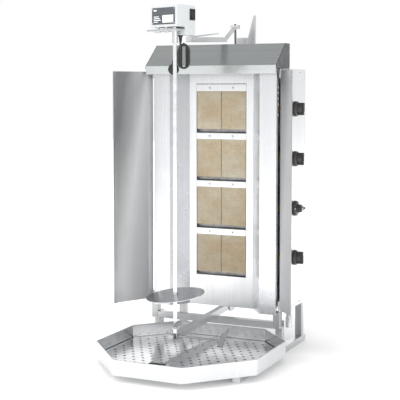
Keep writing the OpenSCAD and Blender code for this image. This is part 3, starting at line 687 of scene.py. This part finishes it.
@dataclass
class Studio:
    """The floor, the soft surrounding light and the camera."""

    eye: Point = (1.3224, -2.9967, 0.8224)
    turn: float = 24.66
    dip: float = 4.16
    lens: float = 93.9
    shift: float = -0.085

    def camera(self) -> None:
        """Adds the camera."""
        data = bpy.data.cameras.new("camera")
        data.lens, data.sensor_width, data.shift_y = self.lens, 36.0, self.shift
        data.clip_end = 50.0
        camera = bpy.data.objects.new("camera", data)
        camera.location = self.eye
        camera.rotation_euler = (math.radians(90.0 - self.dip), 0.0, math.radians(self.turn))
        bpy.context.scene.collection.objects.link(camera)
        bpy.context.scene.camera = camera

    def floor(self) -> None:
        """Adds the plain pale floor."""
        deselect()
        bpy.ops.mesh.primitive_plane_add(size=24.0, location=(0, 0, -0.0005))
        floor = bpy.context.object
        floor.name = "floor"
        paint(floor, StudioFloor("floor_paint"))

    def lamp(self, name: str, place: Point, target: Point, size: float, power: float) -> None:
        """Adds a square soft light.

        Args:
            name: The light's name.
            place: Where it stands.
            target: The point that it faces.
            size: Length of its side, in metres.
            power: Its power, in watts.
        """
        data = bpy.data.lights.new(name, "AREA")
        data.size, data.energy = size, power
        lamp = bpy.data.objects.new(name, data)
        lamp.visible_glossy = False
        lamp.location = place
        lamp.rotation_euler = (Vector(target) - Vector(place)).to_track_quat("-Z", "Y").to_euler()
        bpy.context.scene.collection.objects.link(lamp)

    def surround(self) -> None:
        """Adds a surround that is bright in front and behind, and greyer above and to the sides."""
        world = bpy.data.worlds.new("surround")
        bpy.context.scene.world = world
        world.use_nodes = True
        nodes, links = world.node_tree.nodes, world.node_tree.links
        nodes.clear()
        place = nodes.new("ShaderNodeTexCoord")
        total = None
        for direction, low, high, gain in (((0.42, -0.91, -0.05), 0.35, 0.95, 0.8),
                                           ((-0.95, -0.3, 0.0), 0.5, 0.95, 0.45),
                                           ((0.98, -0.1, -0.1), 0.45, 0.9, 0.4),
                                           ((-0.42, 0.91, 0.0), 0.3, 0.95, 0.9)):
            dot = nodes.new("ShaderNodeVectorMath")
            dot.operation = "DOT_PRODUCT"
            dot.inputs[1].default_value = direction
            links.new(place.outputs["Generated"], dot.inputs[0])
            lobe = nodes.new("ShaderNodeMapRange")
            lobe.interpolation_type = "SMOOTHSTEP"
            for name, value in zip(("From Min", "From Max", "To Min", "To Max"), (low, high, 0.0, gain)):
                lobe.inputs[name].default_value = value
            links.new(dot.outputs["Value"], lobe.inputs["Value"])
            if total is None:
                total = lobe.outputs[0]
            else:
                add = nodes.new("ShaderNodeMath")
                links.new(total, add.inputs[0])
                links.new(lobe.outputs[0], add.inputs[1])
                total = add.outputs[0]
        base = nodes.new("ShaderNodeMath")
        base.inputs[1].default_value = 0.42
        links.new(total, base.inputs[0])
        soft = nodes.new("ShaderNodeBackground")
        links.new(base.outputs[0], soft.inputs["Strength"])
        white = nodes.new("ShaderNodeBackground")
        for background in (soft, white):
            background.inputs["Color"].default_value = (1.0, 1.0, 1.0, 1.0)
        path = nodes.new("ShaderNodeLightPath")
        mix = nodes.new("ShaderNodeMixShader")
        output = nodes.new("ShaderNodeOutputWorld")
        links.new(path.outputs["Is Camera Ray"], mix.inputs[0])
        links.new(soft.outputs[0], mix.inputs[1])
        links.new(white.outputs[0], mix.inputs[2])
        links.new(mix.outputs[0], output.inputs["Surface"])

    def build(self) -> None:
        """Adds everything and picks a plain view transform."""
        self.camera()
        self.floor()
        self.surround()
        self.lamp("key", (-1.6, -2.6, 2.6), (0, -0.1, 0.5), 1.8, 55.0)
        self.lamp("fill", (2.6, -1.2, 1.8), (0, -0.1, 0.5), 1.6, 22.0)
        self.lamp("top", (0.0, -0.4, 3.2), (0, -0.1, 0.3), 2.2, 36.0)
        bpy.context.scene.view_settings.view_transform = "Standard"


# ---------------------------------------------------------------- mains cord


def head_frame() -> Matrix:
    """Returns the drive head's frame: at the skewer on the floor, turned with the head."""
    return Matrix.Translation((0, -0.289, 0)) @ rotation(-18.0, "Z")


@dataclass
class MainsCord:
    """The short mains lead: out of its gland, wound in a hank and down into the plug."""

    diameter: float = 0.006
    middle: Point = (0.012, -0.255, 0.920)
    turn: float = 24.0
    bends: tuple[float, ...] = (0.016, 0.0095, 0.013, 0.0075, 0.016)
    straights: tuple[float, ...] = (0.018, 0.024, 0.0205, 0.0255, 0.018)
    layers: tuple[float, ...] = (0.0093, 0.0031, -0.0031, -0.0093, -0.0124)
    exit: Point = (0.009, -0.2709, 0.960)
    lead: tuple[Point, ...] = ((0.009, -0.2709, 0.960), (0.009, -0.2709, 0.956), (0.0089, -0.2709, 0.952),
                               (0.0082, -0.2708, 0.948), (0.0072, -0.2707, 0.944))
    tail: tuple[Point, ...] = ((-0.0077, -0.2502, 0.938), (-0.0093, -0.250, 0.932),
                               (-0.0133, -0.2494, 0.9265), (-0.0181, -0.2488, 0.921),
                               (-0.0223, -0.2482, 0.9155), (-0.0245, -0.248, 0.912),
                               (-0.0245, -0.248, 0.909))
    plug_middle: Point = (-0.020, -0.258, 0.883)

    def at(self, across: float, out: float, height: float) -> Vector:
        """Returns a point of the hank from its place across, towards the front and up."""
        turn = math.radians(self.turn)
        side = Vector((math.cos(turn), math.sin(turn), 0.0))
        front = Vector((math.sin(turn), -math.cos(turn), 0.0))
        return Vector(self.middle) + side * across + front * out + Vector((0, 0, height))

    def route(self) -> list[Vector]:
        """Returns the points of the whole cord, from the gland to the plug."""
        arc = [math.radians(a) for a in (0, 30, 60, 90, 120, 150, 180)]
        points = [Vector(p) for p in self.lead]
        points.append(self.at(-0.0145, 0.0105, 0.0195))
        turns = list(zip(self.bends, self.straights, self.layers))
        for (bend, straight, out), (next_bend, next_straight, next_out) in zip(turns, turns[1:]):
            points.append(self.at(-bend, out, 0.0))
            points += [self.at(-bend * math.cos(a), out, -straight - bend * math.sin(a)) for a in arc]
            points.append(self.at(bend, out, 0.0))
            for a in arc:
                share = a / math.pi
                reach = bend + (next_bend - bend) * share
                points.append(self.at(reach * math.cos(a), out + (next_out - out) * share,
                                      straight + (next_straight - straight) * share + reach * math.sin(a)))
        return points[:-1] + [Vector(p) for p in self.tail]

    def cord(self) -> bpy.types.Object:
        """Makes the cord as one smooth round curve."""
        data = bpy.data.curves.new("mains_cord", "CURVE")
        data.dimensions = "3D"
        data.bevel_depth, data.bevel_resolution, data.resolution_u = self.diameter / 2, 3, 4
        data.use_fill_caps = True
        spline = data.splines.new("BEZIER")
        points = self.route()
        spline.bezier_points.add(len(points) - 1)
        for knot, point in zip(spline.bezier_points, points):
            knot.co = point
            knot.handle_left_type = knot.handle_right_type = "AUTO"
        piece = bpy.data.objects.new("mains_cord", data)
        bpy.context.scene.collection.objects.link(piece)
        return paint(piece, CORD_SHEATH)

    def tie(self) -> bpy.types.Object:
        """Makes the strap that holds the top of the hank's turns together."""
        deselect()
        bpy.ops.mesh.primitive_torus_add(major_segments=36, minor_segments=8, major_radius=0.005,
                                         minor_radius=0.0007)
        piece = bpy.context.object
        piece.name = "cord_tie"
        for vertex in piece.data.vertices:
            x, y, z = vertex.co
            vertex.co = (x + math.copysign(0.0103, x) if abs(x) > 1e-6 else x, y * 0.82, z * 4.0)
        settle(piece)
        top = self.at(0.0, 0.0, self.straights[0] + self.bends[0])
        turn = rotation(self.turn - 90.0, "Z") @ rotation(90.0, "X")
        piece.data.transform(Matrix.Translation(top) @ turn)
        soften(piece, 0.0)
        return paint(piece, BLACK_RUBBER)

    def plug(self) -> bpy.types.Object:
        """Makes the moulded plug, with its grip ribs, neck and two round pins."""
        place = Matrix.Translation(self.plug_middle) @ rotation(self.turn, "Z")
        back = place @ rotation(-90.0, "X")
        body = turned("plug_body", [(0.0, 0.0), (0.0125, 0.0), (0.015, 0.0012), (0.016, 0.004),
                                    (0.016, 0.009), (0.0152, 0.0098), (0.0152, 0.0112), (0.016, 0.012),
                                    (0.016, 0.0185), (0.0145, 0.021), (0.012, 0.022), (0.0, 0.022)], back, 48)
        neck = turned("plug_neck", [(0.0, 0.012), (0.0055, 0.012), (0.0055, 0.0165), (0.0047, 0.0172),
                                    (0.0053, 0.0182), (0.0045, 0.019), (0.005, 0.020), (0.0042, 0.021),
                                    (0.0047, 0.022), (0.0038, 0.0232), (0.0036, 0.026), (0.0, 0.026)],
                      place @ Matrix.Translation((0, 0.011, 0)), 28)
        paint(body, BLACK_RUBBER)
        paint(neck, BLACK_RUBBER)
        pins = []
        for x in (-0.0095, 0.0095):
            pins.append(turned("plug_pin", [(0.0, 0.021), (0.0024, 0.021), (0.0024, 0.0395),
                                            (0.0016, 0.041), (0.0, 0.041)],
                               back @ Matrix.Translation((x, 0, 0)), 20))
            paint(pins[-1], BRASS)
        return joined("mains_plug", [body, neck, *pins])

    def gland(self) -> bpy.types.Object:
        """Makes the ribbed strain relief under the gear casing."""
        low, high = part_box("cord_gland")
        centre = (low + high) / 2
        reach = high.z - low.z
        profile = [(0.0031, 0.0), (0.0044, 0.0)]
        for k in range(6):
            z = reach * (0.1 + 0.11 * k)
            profile += [(0.0044 + 0.0002 * k, z), (0.0036 + 0.0002 * k, z + 0.0005),
                        (0.0036 + 0.0002 * k, z + 0.0012), (0.0046 + 0.0002 * k, z + 0.0016)]
        profile += [(0.006, reach - 0.004), (0.007, reach - 0.0037), (0.007, reach), (0.0031, reach),
                    (0.0031, 0.0)]
        place = Matrix.Translation((centre.x, centre.y, low.z))
        return paint(turned("cord_strain_relief", profile, place, 36), BLACK_RUBBER)

    def build(self, register: Register) -> None:
        """Args:
            register: Where the pieces are handed in.
        """
        flex, tie, plug, relief = self.cord(), self.tie(), self.plug(), self.gland()
        points = self.route()
        register.add(relief, Body.UPPER_ARM, "rubber_black", "cord_gland")
        register.add(flex, Body.UPPER_ARM, "cord_black", "cord_lead", "cord_hank")
        register.add(tie, Body.UPPER_ARM, "rubber_black")
        register.add(plug, Body.UPPER_ARM, "rubber_black", "plug")


# ---------------------------------------------------------------- burners


@dataclass
class Burners:
    """The wire guards in front of the burner ceramics, and the screws of the strips."""

    cells: tuple[int, int] = (38, 30)
    wire: float = 0.0011
    stand_off: float = 0.0006
    head_r: float = 0.0035
    head_h: float = 0.002
    front_limit: float = 0.1

    def guards(self, register: Register) -> None:
        """Makes one woven wire guard in front of each burner's pair of tiles.

        Args:
            register: Where the guards are handed in.
        """
        tiles = islands("ceramic_tiles")
        levels = sorted({round(low.z, 4) for low, _ in tiles})
        for number, level in enumerate(levels, 1):
            row = [(low, high) for low, high in tiles if abs(low.z - level) < 0.001]
            left = min(low.x for low, _ in row)
            right = max(high.x for _, high in row)
            top = row[0][1].z
            across, upward = self.cells
            middle = ((left + right) / 2, row[0][0].y - self.stand_off, (level + top) / 2)
            deselect()
            bpy.ops.mesh.primitive_grid_add(x_subdivisions=across, y_subdivisions=upward, size=1.0,
                                            location=middle, rotation=(math.radians(90.0), 0, 0))
            guard = bpy.context.object
            guard.scale = (right - left, top - level, 1.0)
            settle(guard).name = f"wire_guard_{number}"
            apply_modifier(guard, "WIREFRAME", thickness=self.wire, use_even_offset=False)
            register.add(paint(guard, WIRE), Body.STAND, "burner_steel")

    def screw(self) -> bpy.types.Object:
        """Makes one domed screw head with a cross recess, its base at the origin, facing +Z."""
        r, h = self.head_r, self.head_h
        head = turned("screw", [(0.0, 0.0), (r, 0.0), (r, h * 0.3), (r * 0.92, h * 0.55), (r * 0.7, h * 0.85),
                                (r * 0.35, h), (0.0, h)], Matrix.Identity(4), 20)
        arms = [block("arm", (-a, -b, h * 0.55), (a, b, h * 1.5), 0.0)
                for a, b in ((r * 0.55, r * 0.13), (r * 0.13, r * 0.55))]
        for arm in arms:
            cut(head, arm)
        return head

    def screws(self, register: Register) -> None:
        """Puts a screw head where each CAD one is, facing out of its sheet.

        Args:
            register: Where the heads are handed in.
        """
        places = []
        for low, high in islands("housing_screws"):
            extent, centre = high - low, (low + high) / 2
            if extent.x < extent.y:
                place = Matrix.Translation((low.x, centre.y, centre.z)) @ rotation(90, "Y")
            elif centre.y < self.front_limit:
                place = Matrix.Translation((centre.x, high.y, centre.z)) @ rotation(90, "X")
            else:
                place = Matrix.Translation((centre.x, low.y, centre.z)) @ rotation(-90, "X")
            spin = rotation(37.0 * len(places), "Z")
            places.append(place @ spin)
        heads = copies(self.screw(), places)
        register.stand_in(paint(joined("screw_heads", heads), ZINC), "housing_screws")

    def build(self, register: Register) -> None:
        """Makes the guards and screws."""
        self.guards(register)
        self.screws(register)


# ---------------------------------------------------------------- controls


@dataclass
class TapKnobs:
    """The four black tap knobs with their grips, marks and ring bezels."""

    turns: dict[str, float] = field(default_factory=lambda: {"knob_1": 0.0, "knob_2": 0.0, "knob_3": -90.0,
                                                             "knob_4": 180.0})
    skirt_r: float = 0.024
    length: float = 0.032

    def body(self) -> bpy.types.Object:
        """Makes one knob along +Z from its back, with its grip along X."""
        r, reach = self.skirt_r, self.length
        skirt = turned("knob_skirt", [(0.0, 0.0), (r - 0.0006, 0.0), (r, 0.0008), (r - 0.0002, 0.003),
                                      (r - 0.0012, 0.0036), (r - 0.0012, 0.0052), (r - 0.0004, 0.006),
                                      (r - 0.0012, 0.010), (r - 0.0035, 0.0118), (0.0135, 0.0128),
                                      (0.0128, 0.016), (0.012, reach - 0.008), (0.0105, reach - 0.006),
                                      (0.0, reach - 0.0058)], Matrix.Identity(4), 64)
        grip = block("knob_grip", (0.005 - r, -0.0045, 0.006), (r - 0.005, 0.0045, reach), 0.0022, 4)
        with editing(grip):
            pick_faces(grip, lambda face: face.normal.z > 0.9 and face.calc_area() > 1e-5)
            bpy.ops.mesh.inset(thickness=0.0012, depth=-0.0006)
        soften(grip, 0.0)
        ribs = [block("rib", (-0.0006, r - 0.0016, 0.0008), (0.0006, r - 0.0002, 0.0034), 0.0002, 1)]
        around = [rotation(a, "Z") for a in range(0, 360, 12)]
        return joined("knob", [paint(p, KNOB_BLACK) for p in [skirt, grip, *copies(ribs[0], around)]])

    def mark(self) -> bpy.types.Object:
        """Makes the white pointer line on the grip and skirt."""
        r, reach = self.skirt_r, self.length
        bars = [block("mark", (0.007, -0.0009, reach - 0.0012), (r - 0.0062, 0.0009, reach - 0.0001),
                      0.0002, 1),
                block("mark", (r - 0.0052, -0.0012, 0.010), (r - 0.0012, 0.0012, 0.0122), 0.0003, 1)]
        return joined("knob_mark", [paint(b, MARK_WHITE) for b in bars])

    def build(self, register: Register) -> None:
        """Puts a knob in place of each CAD knob, with its mark where the tap stands.

        Args:
            register: Where the knobs are handed in.
        """
        for node, turn in self.turns.items():
            low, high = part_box(node)
            place = (Matrix.Translation((low.x, (low.y + high.y) / 2, (low.z + high.z) / 2))
                     @ rotation(turn, "X") @ rotation(90.0, "Y"))
            knob = joined(f"{node}_dressed", [self.body(), self.mark()])
            knob.data.transform(place)
            register.stand_in(knob, node)


# ---------------------------------------------------------------- drive head


@dataclass
class DriveHead:
    """The label with its fields and rivets on the motor case."""

    case: tuple[Point, Point] = ((-0.080, -0.020, 1.003), (0.028, 0.056, 1.066))
    label: tuple[float, float] = (0.092, 0.048)

    def bars(self) -> list[tuple[float, float, float, float]]:
        """Returns the label's printed fields: left, low, right and high, from 0 to 1."""
        lines = [(0.08, 0.13 + 0.105 * k, 0.08 + w, 0.175 + 0.105 * k)
                 for k, w in enumerate((0.18, 0.3, 0.26, 0.22))]
        grid = [(0.46, 0.1 + 0.115 * k, 0.93, 0.2 + 0.115 * k) for k in range(4)]
        return lines + grid + [(0.08, 0.8, 0.2, 0.88)]

    def build(self, register: Register) -> None:
        """Makes the label plate, its fields and four rivets.

        Args:
            register: Where the plate is handed in.
        """
        (x0, y0, z0), (x1, _, z1) = self.case
        width, height = self.label
        left, low = (x0 + x1 - width) / 2, (z0 + z1 - height) / 2
        plate = block("label_plate", (left, y0 - 0.0008, low), (left + width, y0, low + height), 0.0003)
        paint(plate, LABEL_SLATE)
        fields = [paint(block("label_field", (left + a * width, y0 - 0.001, low + b * height),
                              (left + c * width, y0 - 0.0007, low + d * height), 0.0001, 1), LABEL_WHITE)
                  for a, b, c, d in self.bars()]
        rivet = turned("rivet", [(0.0, 0.0), (0.0019, 0.0), (0.0016, 0.0006), (0.0008, 0.001), (0.0, 0.0011)],
                       rotation(90.0, "X"), 20)
        inset = 0.0035
        corners = [(x, z) for x in (left + inset, left + width - inset)
                   for z in (low + inset, low + height - inset)]
        rivets = copies(rivet, [Matrix.Translation((x, y0 - 0.0008, z)) for x, z in corners])
        piece = joined("case_label", [plate, *fields, *[paint(r, ZINC) for r in rivets]])
        piece.data.transform(head_frame())
        register.add(piece, Body.UPPER_ARM, "case_grey")


# ---------------------------------------------------------------- drip tray


@dataclass
class DripTray:
    """The tray's folded rim and the drain holes of its two inserts."""

    hole_r: float = 0.0046
    pitch: float = 0.031
    margin: float = 0.022
    seam: float = 0.018
    chamfer_margin: float = 0.014
    front_chamfer: tuple[float, float, float] = (0.108, 0.745, -0.667)
    back_chamfer: tuple[float, float, float] = (0.148, 0.742, 0.671)
    notch: tuple[float, float, float, float] = (0.002, 0.074, -0.398, -0.312)
    feet: tuple[tuple[float, float], ...] = ((0.040, -0.412), (0.190, -0.280), (0.190, -0.086), (0.040, 0.0))
    foot_clear: float = 0.010
    shaded_floor_top: float = 0.006
    shaded_floor_area: float = 0.01
    rim_r: float = 0.0014

    def outline(self, node: str) -> list[Vector]:
        """Finds the outer corners of a node's top edge.

        Args:
            node: The CAD node.

        Returns:
            The corners, in order round the Z axis.
        """
        low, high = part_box(node)
        work = bmesh.new()
        work.from_mesh(frame["nodes"][node].data)
        bmesh.ops.remove_doubles(work, verts=work.verts, dist=1e-5)
        rim = [v.co.copy() for v in work.verts if high.z - v.co.z < 1e-5]
        work.free()
        centre = (low + high) / 2
        rim.sort(key=lambda p: math.atan2(p.y - centre.y, p.x - centre.x))
        far: dict[int, Vector] = {}
        for point in rim:
            angle = round(math.degrees(math.atan2(point.y - centre.y, point.x - centre.x)) / 4.0)
            best = far.get(angle)
            if best is None or (point - centre).length > (best - centre).length:
                far[angle] = point
        return [far[key] for key in sorted(far)]

    def rim(self, register: Register) -> None:
        """Makes the folded rim round the tray's top edge.

        Args:
            register: Where the rim is handed in.
        """
        corners = self.outline("drip_tray")
        data = bpy.data.curves.new("tray_rim", "CURVE")
        data.dimensions = "3D"
        data.bevel_depth, data.bevel_resolution = self.rim_r, 3
        spline = data.splines.new("POLY")
        spline.points.add(len(corners) - 1)
        centre = sum(corners, Vector()) / len(corners)
        for knot, corner in zip(spline.points, corners):
            inward = (centre - corner).normalized() * 0.001
            knot.co = (*(corner + inward - Vector((0, 0, self.rim_r))), 1.0)
        spline.use_cyclic_u = True
        rim = bpy.data.objects.new("tray_rim", data)
        bpy.context.scene.collection.objects.link(rim)
        pick(rim)
        bpy.ops.object.convert(target="MESH")
        rim = bpy.context.object
        soften(rim, 0.0, angle=50.0)
        register.add(paint(rim, TRAY_STEEL), Body.TRAY, "polished_steel")

    def drained(self, node: str, side: int, register: Register) -> None:
        """Cuts the rows of drain holes in one insert.

        Args:
            node: The insert's CAD node.
            side: 1 for the right insert, -1 for the left one.
            register: Where the piece is handed in.
        """
        low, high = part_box(node)
        piece = cad_copy(node, f"{node}_dressed")
        deselect()
        plate_z = low.z + 0.0037
        bpy.ops.mesh.primitive_cylinder_add(vertices=14, radius=self.hole_r, depth=0.004)
        drill = bpy.context.object
        places = []
        rows = int((high.y - low.y) / (self.pitch * 0.87))
        for row in range(rows):
            y = low.y + self.margin + row * self.pitch * 0.87
            for column in range(12):
                x = self.seam + self.pitch * (column + (row % 2) / 2)
                if self.inside(x, y, side):
                    places.append(Matrix.Translation((side * x, y, plate_z)))
        cut(piece, joined("drill", copies(drill, places)))
        soften(piece, 0.0)
        register.stand_in(paint(piece, INSERT_SHEET), node)

    def inside(self, x: float, y: float, side: int) -> bool:
        """Says whether a hole is clear of the edges, the feet and the scoop notch.

        Args:
            x: The hole's distance from the seam.
            y: Its place along Y.
            side: 1 for the right insert, -1 for the left one.

        Returns:
            Whether the hole can be drilled.
        """
        low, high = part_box("right_insert")
        if y > high.y - self.margin or y < low.y + self.margin * 0.8 or x > high.x - self.margin:
            return False
        for (corner, across, along), edge in ((self.front_chamfer, low.y), (self.back_chamfer, high.y)):
            if (x - corner) * across + (y - edge) * along > -self.chamfer_margin:
                return False
        left, right, front, back = self.notch
        if side < 0 and left < x < right and front < y < back:
            return False
        return all(math.hypot(x - a, y - b) > self.foot_clear for a, b in self.feet)

    def pan(self, register: Register) -> None:
        """Makes the tray, with painted shade on the floor that lies under the inserts.

        Args:
            register: Where the tray is handed in.
        """
        pan = cad_copy("drip_tray", "drip_tray_dressed")
        low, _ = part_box("drip_tray")
        soften(pan, 0.0004)
        paint(pan, TRAY_STEEL)
        pan.data.materials.append(TRAY_FLOOR_SHADE.material())
        # the floor faces under the inserts take the second, dark material: painted shade under the inserts
        for face in pan.data.polygons:
            upward = face.normal.z > 0.9 and face.area > self.shaded_floor_area
            if upward and face.center.z < low.z + self.shaded_floor_top:
                face.material_index = 1
        register.stand_in(pan, "drip_tray")

    def build(self, register: Register) -> None:
        """Makes the pan and its rim, and drills the inserts."""
        self.pan(register)
        self.rim(register)
        self.drained("right_insert", 1, register)
        self.drained("left_insert", -1, register)


# ---------------------------------------------------------------- every other node


@dataclass(frozen=True)
class Dressing:
    """How one CAD node is finished: its surface and the rounding of its edges."""

    finish: Finish
    edge: float = 0.0


DRESSINGS: dict[str, Dressing] = {
    "floor_frame": Dressing(TUBE_DEEP, 0.0006), "rail_caps": Dressing(PALE_PLASTIC, 0.0005),
    "rear_legs": Dressing(TUBE_UPRIGHT, 0.0006), "front_posts": Dressing(TUBE_UPRIGHT, 0.0006),
    "front_crossbar": Dressing(TUBE_CROSS, 0.0006), "left_side_wall": Dressing(SHEET, 0.0004),
    "right_side_wall": Dressing(SHEET, 0.0004), "rear_cover": Dressing(SHEET, 0.0004),
    "top_plate": Dressing(SHEET_FLAT, 0.0004), "bottom_plate": Dressing(SHEET_FLAT, 0.0004),
    "left_column": Dressing(SHEET_REFLECTOR, 0.0004), "right_column": Dressing(SHEET_REFLECTOR, 0.0004),
    "burner_frame": Dressing(SHEET_FRONT, 0.0004), "burner_bodies": Dressing(BURNER_CASE),
    "ceramic_tiles": Dressing(CERAMIC), "burner_strips": Dressing(SHEET_FRONT, 0.0003),
    "gas_manifold": Dressing(ZINC), "gas_taps": Dressing(BRASS), "feed_pipes": Dressing(COPPER),
    "gas_inlet": Dressing(ZINC), "control_cover": Dressing(SHEET_PANEL, 0.0006),
    "knob_bezels": Dressing(BLACK_PLASTIC, 0.0004), "hood": Dressing(SHEET_HOOD, 0.0004),
    # the hood cheeks carry the painted dark reflection
    "hood_cheeks": Dressing(CHEEK_PAINTED_REFLECTION, 0.0003), "wing_pins": Dressing(TUBE_UPRIGHT, 0.0004),
    "lower_arm_guide": Dressing(TUBE_DEEP, 0.0004), "upper_arm_track": Dressing(TUBE_DEEP, 0.0004),
    "rear_upright": Dressing(SHEET, 0.0003), "left_wing": Dressing(SHEET_WING, 0.0004),
    "right_wing": Dressing(SHEET_WING, 0.0004), "lower_arm": Dressing(TUBE_DEEP, 0.0006),
    "bearing_block": Dressing(BRIGHT, 0.0006), "clamp_bolt": Dressing(ZINC, 0.0008),
    "clamp_lever": Dressing(BRIGHT, 0.0005), "skewer": Dressing(BRIGHT, 0.0005),
    "meat_plate": Dressing(PLATE_STEEL, 0.0005), "plate_screw": Dressing(ZINC, 0.0004),
    "upper_arm": Dressing(TUBE_DEEP, 0.0005), "arm_gusset": Dressing(TUBE_DEEP, 0.0004),
    "arm_pillar": Dressing(BLUED, 0.0005), "drive_plate": Dressing(SHEET_FLAT, 0.0008),
    "plate_bolts": Dressing(ZINC, 0.0004), "gear_casing": Dressing(CASE_COAT, 0.0006),
    "motor_case": Dressing(CASE_COAT, 0.0007), "gear_motor": Dressing(CAST),
    "switch_bezel": Dressing(BLACK_PLASTIC, 0.0004), "switch_rocker": Dressing(BLACK_PLASTIC, 0.0005),
    "drive_socket": Dressing(BRIGHT, 0.0005), "drip_tray": Dressing(TRAY_STEEL, 0.0004),
}


def dress_nodes(register: Register) -> None:
    """Finishes each CAD node that no detailed piece stands for, its edges rounded where they have a width.

    Args:
        register: Where the finished copies are handed in.
    """
    for node, dressing in DRESSINGS.items():
        if node in register.taken:
            continue
        if dressing.edge > 0:
            piece = cad_copy(node, f"{node}_dressed")
            soften(piece, dressing.edge)
            register.stand_in(paint(piece, dressing.finish), node)
        else:
            paint(frame["nodes"][node], dressing.finish)


def main() -> None:
    """Builds the view, the cord and every assembly."""
    logging.basicConfig(level=logging.INFO, format="%(name)s: %(message)s")
    register = Register()
    Studio().build()
    for assembly in (MainsCord(), Burners(), TapKnobs(), DriveHead(), DripTray()):
        assembly.build(register)
        log.info("%s done", type(assembly).__name__)
    dress_nodes(register)


if __name__ == "__main__":
    main()
